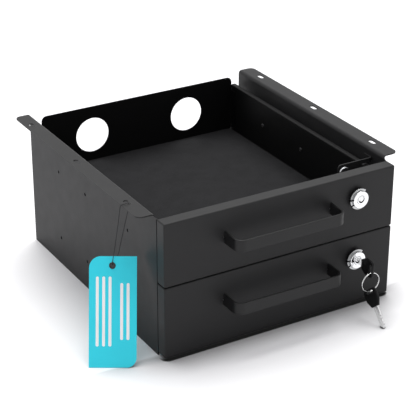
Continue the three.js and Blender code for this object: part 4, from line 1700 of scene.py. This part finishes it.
@dataclass
class CamLock:
    """A cam lock: chrome head with a notched collar, keyed plug, nut, cam and screw.

    The nut's corner and face are shares of half its width across the flats.
    """

    level: Level
    face: float = 0.0232
    face_lip: float = 0.0002
    face_round: float = 0.0009
    face_depth: float = 0.0012
    neck: float = 0.0242
    neck_bevel: float = 0.0003
    collar: float = 0.0288
    collar_proud: float = 0.006
    collar_sheet: float = 0.0022
    collar_span: Point = (50, 335)
    collar_root: float = 0.001
    collar_edge: float = 0.0004
    notches: tuple[float, ...] = (177, 213)
    notch: float = 0.0024
    notch_land: float = 0.00005
    barrel: float = 0.019
    barrel_gap: float = 0.0001
    flats: float = 0.0164
    bore: float = 0.012
    bore_bevel: float = 0.0004
    fit_gap: float = 0.0002
    thread_pitch: float = 0.001
    thread_depth: float = 0.0005
    thread_start: float = 0.003
    key_height: float = 0.0083
    key_width: float = 0.0025
    key_depth: float = 0.023
    key_round: float = 0.0004
    plug_bevel: float = 0.0003
    dish: float = 0.0046
    dish_rise: float = 0.0007
    dish_depth: float = 0.0013
    # A black disc on the dish's floor paints the shade in the dish: its gap to the dish's wall, and how far
    # it stands out of the floor.
    shade_disc_gap: float = 0.00005
    shade_disc_proud: float = 0.0003
    island: float = 0.0037
    island_rise: float = 0.0015
    island_drop: float = 0.0002
    island_round: float = 0.0004
    shutter_slit: float = 0.0008
    shutter_depth: float = 0.0005
    shutter_sheet: float = 0.0006
    tail: float = 0.006
    tail_length: float = 0.0025
    tail_root: float = 0.0005
    tail_gap: float = 0.0003
    nut_corner: float = 1.13
    nut_face: float = 0.98
    nut_bevel: float = 0.0011
    cam_edge: float = 0.0003
    washer: float = 0.0012
    washer_bevel: float = 0.0002
    head_across: float = 0.008
    head_corner: float = 0.0047
    head_face: float = 0.0039
    head_bevel: float = 0.0007

    def __post_init__(self) -> None:
        """Reads the lock's place from the frame."""
        self.word = self.level.value
        self.shell, self.turning = f"{self.word}_drawer", f"{self.word}_lock"
        self.low, self.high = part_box(f"{self.word}_lock_housing")
        self.centre = lock_axis(self.level)
        self.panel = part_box(f"{self.word}_front_panel")[0].y

    def at(self, y: float) -> Vector:
        """The point on the lock's axis at a depth."""
        return Vector((self.centre.x, y, self.centre.z))

    def turned(self, profile: Outline, steps: int, rise: float = 0.0) -> Solid:
        """A body turned about the lock's axis, or about a line above it."""
        return turn(profile, self.at(0) + Vector((0, 0, rise)), Axis.Y, steps)

    def square(self, half: float) -> tuple[Point, Point]:
        """The corners of a square about the lock's axis, half a side off it."""
        x, z = self.centre.x, self.centre.z
        return (x - half, z - half), (x + half, z + half)

    def make_housing(self) -> None:
        """Turns the housing with its threads and flats."""
        front, back = self.low.y, self.high.y
        step = self.panel - self.collar_proud - self.barrel_gap
        wall, bore, barrel = self.face / 2 - self.face_lip, self.bore / 2, self.barrel / 2
        turn_in, turn_back = self.face / 2 - self.face_round, front + self.face_round
        valley, half_pitch = barrel - self.thread_depth, self.thread_pitch / 2
        threads = []
        count = int((back - self.panel - self.thread_start) / self.thread_pitch)
        for i in range(count):
            y = back - half_pitch - i * self.thread_pitch
            threads += [(barrel, y), (valley, y - half_pitch)]
        profile = [
            (bore + self.bore_bevel, front),
            *arc((turn_in, turn_back), self.face_round, -90, 0, 5),
            (wall, front + self.face_depth),
            (wall, step),
            (barrel, step),
            *reversed(threads),
            (valley, back),
            (bore, back),
            (bore, front + self.bore_bevel),
        ]
        cutters = []
        for side in Side:
            flat, out = sorted((side.value * self.flats / 2, side.value * self.barrel))
            low = self.at(self.panel + self.fit_gap) + Vector((flat, 0, -self.barrel))
            high = self.at(back + CLEAR) + Vector((out, 0, self.barrel))
            cutters.append(box(low, high))
        housing = combine(self.turned(profile, 72), cutters, Join.CUT)
        name = f"{self.word}_lock_housing"
        fit(f"{name}_turned", housing, CHROME, self.shell, name, sharp=28)

    def make_collar(self) -> None:
        """Makes the notched rim, which is open on the right, with its sleeve."""
        front = self.panel - self.collar_proud
        back = front + self.collar_sheet
        centre = (self.centre.x, self.centre.z)
        bore, sleeve = self.barrel / 2 + self.barrel_gap, self.face / 2
        start, end = self.collar_span
        outer = arc(centre, self.collar / 2, start, end, 64)
        inner = arc(centre, sleeve - self.collar_root, end, start, 48)
        rim = draw_out(outer + inner, Axis.Y, front, back, self.collar_edge, steps=4)
        deep, half = self.collar_sheet, self.notch / 2
        middle = Matrix.Translation(self.at(front + deep / 2))
        notches = []
        for angle in self.notches:
            cutter = box((sleeve + self.notch_land, -deep, -half), (self.collar, deep, half))
            notches.append(moved(cutter, middle @ Matrix.Rotation(math.radians(-angle), 4, "Y")))
        lip, root, end = self.low.y + CLEAR, sleeve - self.face_lip, back - self.fit_gap
        tube = [(bore, front), (root, front), (root, lip), (sleeve, lip), (sleeve, end), (bore, end)]
        collar = combine(combine(rim, notches, Join.CUT), [self.turned(tube, 72)], Join.ADD)
        name = f"{self.word}_lock_collar"
        fit(f"{name}_cut", collar, DULL_CHROME, self.shell, name, sharp=28)

    def make_spacer(self) -> None:
        """Turns the black spacer between the collar and the front."""
        front, back = self.panel - self.collar_proud + self.collar_sheet, self.panel
        bore, neck, bevel = self.barrel / 2 + self.barrel_gap, self.neck / 2, self.neck_bevel
        profile = [(bore, front), (neck - bevel, front), (neck, front + bevel), (neck, back), (bore, back)]
        fit(f"{self.word}_lock_spacer", self.turned(profile, 72), KEY_PLASTIC, self.shell)

    def keyway(self, front: float) -> Solid:
        """A cutter for the slot that takes the key.

        Args:
            front: Where the plug's face lies along Y.

        Returns:
            The cutter.
        """
        width, height = self.key_width / 2, self.key_height / 2
        low = (self.centre.x - width, self.centre.z - height)
        high = (self.centre.x + width, self.centre.z + height)
        outline = rounded(low, high, [self.key_round] * 4, 3)
        return draw_out(outline, Axis.Y, front - CLEAR, front + self.key_depth)

    def make_plug(self) -> None:
        """Turns the plug with a dish in its face, an island in it and the keyway, and paints the dish's shade
        with a black disc.
        """
        name = f"{self.word}_lock_plug"
        low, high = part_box(name)
        radius, bevel = self.bore / 2 - self.fit_gap, self.plug_bevel
        front, end = low.y, high.y - self.tail_length
        profile = [(0, front), (radius - bevel, front), (radius, front + bevel), (radius, end), (0, end)]
        plug = self.turned(profile, 64)
        (left, bottom), (right, top) = self.square(self.tail / 2)
        tail = box((left, end - self.tail_root, bottom), (right, high.y, top))
        floor = front + self.dish_depth
        dish_centre = self.at(0) + Vector((0, 0, self.dish_rise))
        hollow = rod(self.dish, front - CLEAR, floor, dish_centre, Axis.Y, 64)
        plug = combine(plug, [hollow], Join.CUT)
        crown, island, edge = front + self.island_drop, self.island, self.island_round
        shoulder = arc((island - edge, crown + edge), edge, -90, 0, 4)
        profile = [(0, crown), *shoulder, (island, floor + CLEAR), (0, floor + CLEAR)]
        raised = self.turned(profile, 64, self.island_rise)
        plug = combine(combine(plug, [tail, raised], Join.ADD), [self.keyway(front)], Join.CUT)
        fit(f"{name}_turned", plug, CHROME, self.turning, name, sharp=30)
        # A black disc on the dish's floor is painted shade in the dish.
        start, end = floor - self.shade_disc_proud, floor + self.barrel_gap
        paint = rod(self.dish - self.shade_disc_gap, start, end, dish_centre, Axis.Y, 64)
        paint = combine(paint, [self.keyway(front)], Join.CUT)
        fit(f"{self.word}_lock_dish", paint, KEY_PLASTIC, self.turning)

    def make_shutter(self) -> None:
        """Sets the dust shutter that closes an empty keyway to a slit."""
        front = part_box(f"{self.word}_lock_plug")[0].y + self.shutter_depth
        half, seat = self.key_width / 2, self.barrel_gap
        low = self.at(front) + Vector((self.shutter_slit - half, 0, self.island_rise - self.island))
        high = self.at(front + self.shutter_sheet) + Vector((half + seat, 0, self.key_height / 2 + seat))
        fit(f"{self.word}_lock_shutter", box(low, high), CHROME, self.turning)

    def make_nut(self) -> None:
        """Makes the hexagon nut, with its corners turned off."""
        name = f"{self.word}_lock_nut"
        low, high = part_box(name)
        across, centre = high.z - low.z, (self.centre.x, self.centre.z)
        hole = circle(centre, self.barrel / 2 + self.fit_gap, 48)
        nut = draw_out(hexagon(centre, across), Axis.Y, low.y, high.y, 0, [hole])
        corner, face = across / 2 * self.nut_corner, across / 2 * self.nut_face
        cone = self.turned(bevelled(corner, corner - face, self.nut_bevel, low.y, high.y), 64)
        nut = combine(nut, [cone], Join.KEEP)
        fit(f"{name}_turned", nut, ZINC, self.shell, name, sharp=25)

    def make_cam(self) -> None:
        """Cuts the cam with its square hole."""
        name = f"{self.word}_lock_cam"
        low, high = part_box(name)
        radius = (high.x - low.x) / 2 * ROUND_END
        outline = rounded((low.x, low.z), (high.x, high.z), [radius] * 4, 14)
        hole = rounded(*self.square(self.tail / 2 + self.tail_gap), [self.key_round] * 4, 3)
        cam = draw_out(outline, Axis.Y, low.y, high.y, self.cam_edge, [hole], 3)
        fit(f"{name}_cut", cam, ZINC, self.turning, name)

    def make_cam_screw(self) -> None:
        """Holds the cam with a washer and a hexagon screw."""
        name = f"{self.word}_cam_screw"
        low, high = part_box(name)
        radius, bevel, seat = (high.x - low.x) / 2, self.washer_bevel, low.y + self.washer
        washer = self.turned(bevelled(radius, bevel, bevel, low.y, seat), 40)
        outline = hexagon((self.centre.x, self.centre.z), self.head_across)
        head = draw_out(outline, Axis.Y, seat, high.y)
        cone = [
            (0, low.y),
            (self.head_corner, low.y),
            (self.head_corner, high.y - self.head_bevel),
            (self.head_face, high.y),
            (0, high.y),
        ]
        head = combine(head, [self.turned(cone, 40)], Join.KEEP)
        fit(f"{name}_turned", together([washer, head]), ZINC, self.turning, name, sharp=25)

    def build(self) -> None:
        """Makes the lock's pieces."""
        self.make_housing()
        self.make_collar()
        self.make_spacer()
        self.make_plug()
        if self.level is Level.UPPER:
            self.make_shutter()
        self.make_nut()
        self.make_cam()
        self.make_cam_screw()


@dataclass
class Keys:
    """The key in the lower lock, the split ring and the spare that hangs on it.

    A bow's pocket is told as shares of half its thickness and half its neck.
    """

    thickness: float = 0.002
    height: float = 0.0078
    length: float = 0.030
    point: float = 0.004
    blade_edge: float = 0.00018
    cuts: tuple[float, ...] = (0.0014, 0.0022, 0.0009, 0.0019)
    cut_pitch: float = 0.0041
    cut_land: float = 0.0003
    cut_floor: float = 0.0005
    first_cut: float = 0.0116
    tang: float = 0.010
    tang_step: float = 0.001
    groove: float = 0.0012
    groove_depth: float = 0.0005
    groove_round: float = 0.0005
    groove_levels: Point = (0.0012, -0.0004)
    groove_start: float = 0.001
    groove_past: float = 0.002
    bow_length: float = 0.024
    bow_width: float = 0.0236
    bow_neck: float = 0.013
    neck_length: float = 0.007
    neck_step: float = 0.001
    bow_thickness: float = 0.0036
    bow_shoulder: float = 0.003
    bow_corner: float = 0.005
    bow_edge: float = 0.0009
    pocket: Point = (0.62, 0.42)
    thumb_start: float = 0.0165
    thumb_end: float = 0.0045
    thumb_width: float = 0.0144
    thumb_round: float = 0.002
    thumb_depth: float = 0.00025
    eye_width: float = 0.0044
    eye_length: float = 0.013
    eye_margin: float = 0.0018
    wire: float = 0.0018
    coil_turns: float = 1.97
    coil_start: float = 200.0
    coil_steps: int = 150
    coil_cross: float = 26.0
    coil_spread: float = 0.96
    coil_fill: float = 0.98
    ring_fit: float = 0.0003
    twist: float = -10.0
    tip_gap: float = 0.0009

    def blade(self) -> Solid:
        """Cuts and mills a blade.

        Returns:
            The blade, which points along Y from the bow's root.
        """
        half, step = self.height / 2, self.height / 2 - self.tang_step
        outline: Outline = [(-self.tang, -step), (0, -step), (0, -half)]
        flank, floor = self.cut_pitch / 2 - self.cut_land, self.cut_floor
        for i, depth in enumerate(self.cuts):
            middle = self.first_cut + i * self.cut_pitch
            outline += [(middle - flank, -half), (middle - floor, -half + depth)]
            outline += [(middle + floor, -half + depth), (middle + flank, -half)]
        outline += [(self.length - self.point, -half), (self.length, 0), (self.length - self.point, half)]
        outline += [(0, half), (0, step), (-self.tang, step)]
        side = self.thickness / 2
        blade = draw_out(outline, Axis.X, -side, side, self.blade_edge, steps=2)
        grooves = []
        for (low, high), level in zip(skins(side, self.groove_depth), self.groove_levels):
            start = (self.groove_start, level - self.groove / 2)
            end = (self.length + self.groove_past, level + self.groove / 2)
            outline = rounded(start, end, [self.groove_round] * 4, 3)
            grooves.append(draw_out(outline, Axis.X, low, high))
        return combine(blade, grooves, Join.CUT)

    def bow(self) -> Solid:
        """Moulds a bow with a slot for the ring and a thumb rest in each face.

        Returns:
            The bow, whose root is at the origin.
        """
        half, neck = self.bow_width / 2, self.bow_neck / 2
        shoulder, corner = self.bow_shoulder, self.bow_corner
        outline = [
            (0, neck),
            (0, -neck),
            (-self.neck_length, -half + self.neck_step),
            *arc((-self.neck_length - shoulder, -half + shoulder), shoulder, -60, -90, 5),
            *arc((-self.bow_length + corner, -half + corner), corner, 270, 180, 10),
            *arc((-self.bow_length + corner, half - corner), corner, 180, 90, 10),
            *arc((-self.neck_length - shoulder, half - shoulder), shoulder, 90, 60, 5),
            (-self.neck_length, half - self.neck_step),
        ]
        eye_line = -self.bow_length + self.eye_margin + self.eye_width / 2
        eye = slot((eye_line, 0), self.eye_width, self.eye_length)
        side = self.bow_thickness / 2
        bow = draw_out(outline, Axis.X, -side, side, self.bow_edge, [eye], 4)
        wide, high = side * self.pocket[0], neck * self.pocket[1]
        cutters = [box((-wide, -self.tang, -high), (wide, CLEAR, high))]
        low, high = (-self.thumb_start, -self.thumb_width / 2), (-self.thumb_end, self.thumb_width / 2)
        rest = rounded(low, high, [self.thumb_round] * 4, 5)
        cutters += [draw_out(rest, Axis.X, *skin) for skin in skins(side, self.thumb_depth)]
        return combine(bow, cutters, Join.CUT)

    def split_ring(self, top: Vector, radius: float) -> Solid:
        """Two coils of wire side by side, as thick together as the ring.

        Args:
            top: The middle of the ring's top.
            radius: The coils' middle radius.

        Returns:
            The ring.
        """
        thin = self.wire / 4
        centre = top - Vector((0, 0, radius))
        path = []
        for i in range(self.coil_steps + 1):
            share = i / self.coil_steps
            angle = math.radians(self.coil_start + 360 * self.coil_turns * share)
            across = math.tanh((share - 0.5) * self.coil_cross) * thin * self.coil_spread
            path.append(centre + Vector((radius * math.cos(angle), across, radius * math.sin(angle))))
        section = circle((0, 0), thin * self.coil_fill, 12)
        return sweep(path, lambda _: section, Vector((0, 1, 0)))

    def spare_placing(self, ring_bottom: Vector) -> Matrix:
        """Leans the spare with its tip just above the floor.

        Args:
            ring_bottom: The middle of the wire at the ring's lowest point.

        Returns:
            The matrix from the key's own place to the spare's.
        """
        seat = self.bow_length - self.eye_margin - self.wire / 2 - self.ring_fit
        lean = math.acos((ring_bottom.z - self.tip_gap) / (seat + self.length))
        along = Vector((0, -math.sin(lean), -math.cos(lean)))
        across = Matrix.Rotation(math.radians(self.twist), 3, along) @ Vector((1, 0, 0))
        up = across.cross(along)
        turned = Matrix((across, along, up)).transposed().to_4x4()
        return Matrix.Translation(ring_bottom + along * seat) @ turned

    def make_key(self, key: str, placing: Matrix) -> None:
        """Makes a key's blade and bow.

        Args:
            key: The key's body, which starts its solids' names.
            placing: The matrix from the key's own place to the frame.
        """
        blade, bow = moved(self.blade(), placing), moved(self.bow(), placing)
        fit(f"{key}_blade_cut", blade, NICKEL, key, f"{key}_blade", sharp=25)
        fit(f"{key}_bow_moulded", bow, KEY_PLASTIC, key, f"{key}_bow")

    def build(self) -> None:
        """Makes both keys and the ring."""
        low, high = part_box("key_blade")
        middle = (low + high) / 2
        self.make_key("key", Matrix.Translation((middle.x, high.y - self.length, middle.z)))
        low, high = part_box("key_ring")
        radius = (high.z - low.z - self.wire) / 2
        top = Vector(((low.x + high.x) / 2, (low.y + high.y) / 2, high.z - self.wire / 2))
        ring = self.split_ring(top, radius)
        fit("split_ring", ring, NICKEL, "ring", "key_ring", sharp=80)
        self.make_key("spare_key", self.spare_placing(top - Vector((0, 0, 2 * radius))))


@dataclass
class BallSlide:
    """One telescopic slide: three nested channels and two ball cages.

    A wall screw's head rises by a share of the channel's sheet.
    """

    level: Level
    side: Side
    sheet: float = 0.0012
    hook: float = 0.0015
    bend: float = 0.0012
    ball: float = 0.0036
    ball_fit: float = 0.00025
    cage_sheet: float = 0.0005
    cage_margin: float = 0.00045
    cage_gap: float = 0.0001
    balls_in_row: int = 8
    outer_line: float = 0.0064
    inner_line: float = 0.0083
    screw_head: float = 0.0021
    head_rise: float = 0.9
    head_drop: float = 0.0001
    screw_shank: float = 0.00175
    screw_tip: float = 0.0011
    shank_drop: float = 0.0012
    tip_drop: float = 0.001

    def __post_init__(self) -> None:
        """Reads the slide's place from the frame."""
        self.stem = f"{self.level.value}_{self.side.word}"
        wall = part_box(f"{self.side.word}_side_panel")
        self.inside = min(abs(corner.x) for corner in wall)
        self.front = wall[0].y
        low, high = self.box_of("slide_outer")
        self.axis_level = (low.z + high.z) / 2

    def box_of(self, member: str) -> tuple[Vector, Vector]:
        """The lowest and highest corners of one of the slide's solids."""
        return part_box(f"{self.stem}_{member}")

    def place(self, points: Sequence[Point]) -> Outline:
        """Turns (distance from the wall, height above the axis) into X and Z."""
        return [(self.side.value * (self.inside - u), self.axis_level + v) for u, v in points]

    def reach_of(self, member: str) -> Point:
        """How far from the wall a member starts and ends."""
        near, far = sorted(self.inside - abs(corner.x) for corner in self.box_of(member))
        return near, far

    def row(self, cage: str) -> float:
        """The height of a cage's ball rows above the axis."""
        low, high = self.box_of(cage)
        return (high.z - low.z) / 2 - self.ball / 2

    def channel(self, member: str, opens_in: bool, hooked: bool, rows: Sequence[Point]) -> Solid:
        """A rolled channel with its ball races.

        Args:
            member: The member's word.
            opens_in: Whether it opens towards the drawer.
            hooked: Whether its free edges turn in.
            rows: The ball rows that run in it, as (distance from the wall, height).

        Returns:
            The channel.
        """
        low, high = self.box_of(member)
        near, far = self.reach_of(member)
        half = (high.z - low.z) / 2 - self.sheet / 2
        web, mouth = (near, far) if opens_in else (far, near)
        inward = self.sheet / 2 * (1 if opens_in else -1)
        right = [(web + inward, half), (mouth - (inward if hooked else 0), half)]
        if hooked:
            right.append((mouth - inward, half - self.sheet / 2 - self.hook))
        left = [(u, -v) for u, v in reversed(right)]
        section = self.place(folded([*left, *right], self.sheet, self.bend))
        rail = draw_out(section, Axis.Y, low.y, high.y)
        radius, start, end = self.ball / 2 + self.ball_fit, low.y - CLEAR, high.y + CLEAR
        races = []
        for line, row in rows:
            for x, z in self.place([(line, -row), (line, row)]):
                races.append(rod(radius, start, end, (x, 0, z), Axis.Y, 20))
        return combine(rail, races, Join.CUT)

    def bored(self, rail: Solid, screws: Sequence[float], web: float) -> Solid:
        """Bores a channel's screw holes.

        Args:
            rail: The channel, which is used up.
            screws: The screws' places behind the cabinet's front edge.
            web: How far from the wall the channel's web lies.

        Returns:
            The bored channel.
        """
        x, reach = self.side.value * (self.inside - web), 2 * self.sheet
        centres = [(x, self.front + y, self.axis_level) for y in screws]
        holes = [rod(SCREW_HOLE / 2, -reach, reach, centre, Axis.X) for centre in centres]
        return combine(rail, holes, Join.CUT)

    def cage(self, name: str, line: float, row: float) -> Solid:
        """A cage with its balls: a strip, two pierced arms and two rows of balls.

        Args:
            name: The cage's word.
            line: How far from the wall its balls run.
            row: The height of its rows above and below the axis.

        Returns:
            The cage and its balls.
        """
        low, high = self.box_of(name)
        near, _ = self.reach_of(name)
        start, end, radius = low.y, high.y, self.ball / 2
        far = line + radius + self.cage_margin
        pitch = (end - start) / self.balls_in_row
        stations = [start + (i + 0.5) * pitch for i in range(self.balls_in_row)]
        inner, outer, x = (self.side.value * (self.inside - u) for u in (near, far, line))
        arm = [(inner, start), (outer, start), (outer, end), (inner, end)]
        holes = [circle((x, y), radius + self.cage_gap, 20) for y in stations]
        half = self.cage_sheet / 2
        parts = []
        for level in (self.axis_level - row, self.axis_level + row):
            parts.append(draw_out(arm, Axis.Z, level - half, level + half, 0, holes))
            parts += [ball((x, y, level), radius) for y in stations]
        back = near + self.cage_sheet
        strip = self.place([(near, -row), (back, -row), (back, row), (near, row)])
        parts.append(draw_out(strip, Axis.Y, start, end))
        return together(parts)

    def make_wall_screws(self) -> None:
        """Drives the countersunk screws into the cabinet's wall, where their tips show."""
        sign, head, shank = self.side.value, self.screw_head, self.screw_shank
        profile = [
            (0, -self.sheet * self.head_rise),
            (head, -self.sheet * self.head_rise),
            (head, 0),
            (shank, self.head_drop),
            (shank, WALL_SHEET - self.shank_drop),
            (self.screw_tip, WALL_SHEET - self.tip_drop),
            (0, WALL_SHEET - self.tip_drop),
        ]
        outward = [(radius, sign * along) for radius, along in profile]
        centres = [(sign * self.inside, self.front + y, self.axis_level) for y in WALL_SCREWS]
        screws = [turn(outward, centre, Axis.X, 24) for centre in centres]
        fit(f"{self.stem}_wall_screws", together(screws), BLACK_OXIDE, "cabinet")

    def build(self) -> None:
        """Makes the channels, the cages and the wall's screws."""
        word, stem = self.level.value, self.stem
        outer_row = (self.outer_line, self.row("outer_ball_cage"))
        inner_row = (self.inner_line, self.row("inner_ball_cage"))
        outer = self.channel("slide_outer", True, True, [outer_row])
        outer = self.bored(outer, WALL_SCREWS, 0)
        fit(f"{stem}_outer_rail", outer, ZINC, "cabinet", f"{stem}_slide_outer")
        middle = self.channel("slide_middle", True, False, [outer_row, inner_row])
        fit(f"{stem}_middle_rail", middle, ZINC, f"{word}_slide_middles", f"{stem}_slide_middle")
        inner = self.channel("slide_inner", False, False, [inner_row])
        inner = self.bored(inner, TUB_SCREWS, self.reach_of("slide_inner")[1])
        fit(f"{stem}_inner_rail", inner, ZINC, f"{word}_drawer", f"{stem}_slide_inner")
        for kind, (line, row) in (("outer", outer_row), ("inner", inner_row)):
            name = f"{kind}_ball_cage"
            cage = self.cage(name, line, row)
            fit(f"{stem}_{name}_pierced", cage, BALL_STEEL, f"{word}_{kind}_cages", f"{stem}_{name}")
        self.make_wall_screws()


def main() -> None:
    """Builds the scene, piece by piece."""
    logging.basicConfig(level=logging.INFO, format="%(name)s: %(message)s")
    studio = Studio()
    studio.make_camera()
    SwingTag().build()
    log.info("swing tag and string")
    studio.make_floor()
    studio.make_light()
    studio.make_ready()
    for side in Side:
        SideWall(side).build()
        log.info("%s side wall", side.word)
    BottomPan().build()
    log.info("bottom pan")
    for level in Level:
        word = level.value
        Keeper(level).build()
        log.info("%s keeper", word)
        for side in Side:
            BallSlide(level, side).build()
            log.info("%s %s ball slide", word, side.word)
        DrawerFront(level).build()
        log.info("%s front and handle", word)
        Drawer(level).build()
        log.info("%s tub, back and liner", word)
        CamLock(level).build()
        log.info("%s cam lock", word)
    Keys().build()
    log.info("keys and ring")


if __name__ == "__main__":
    main()
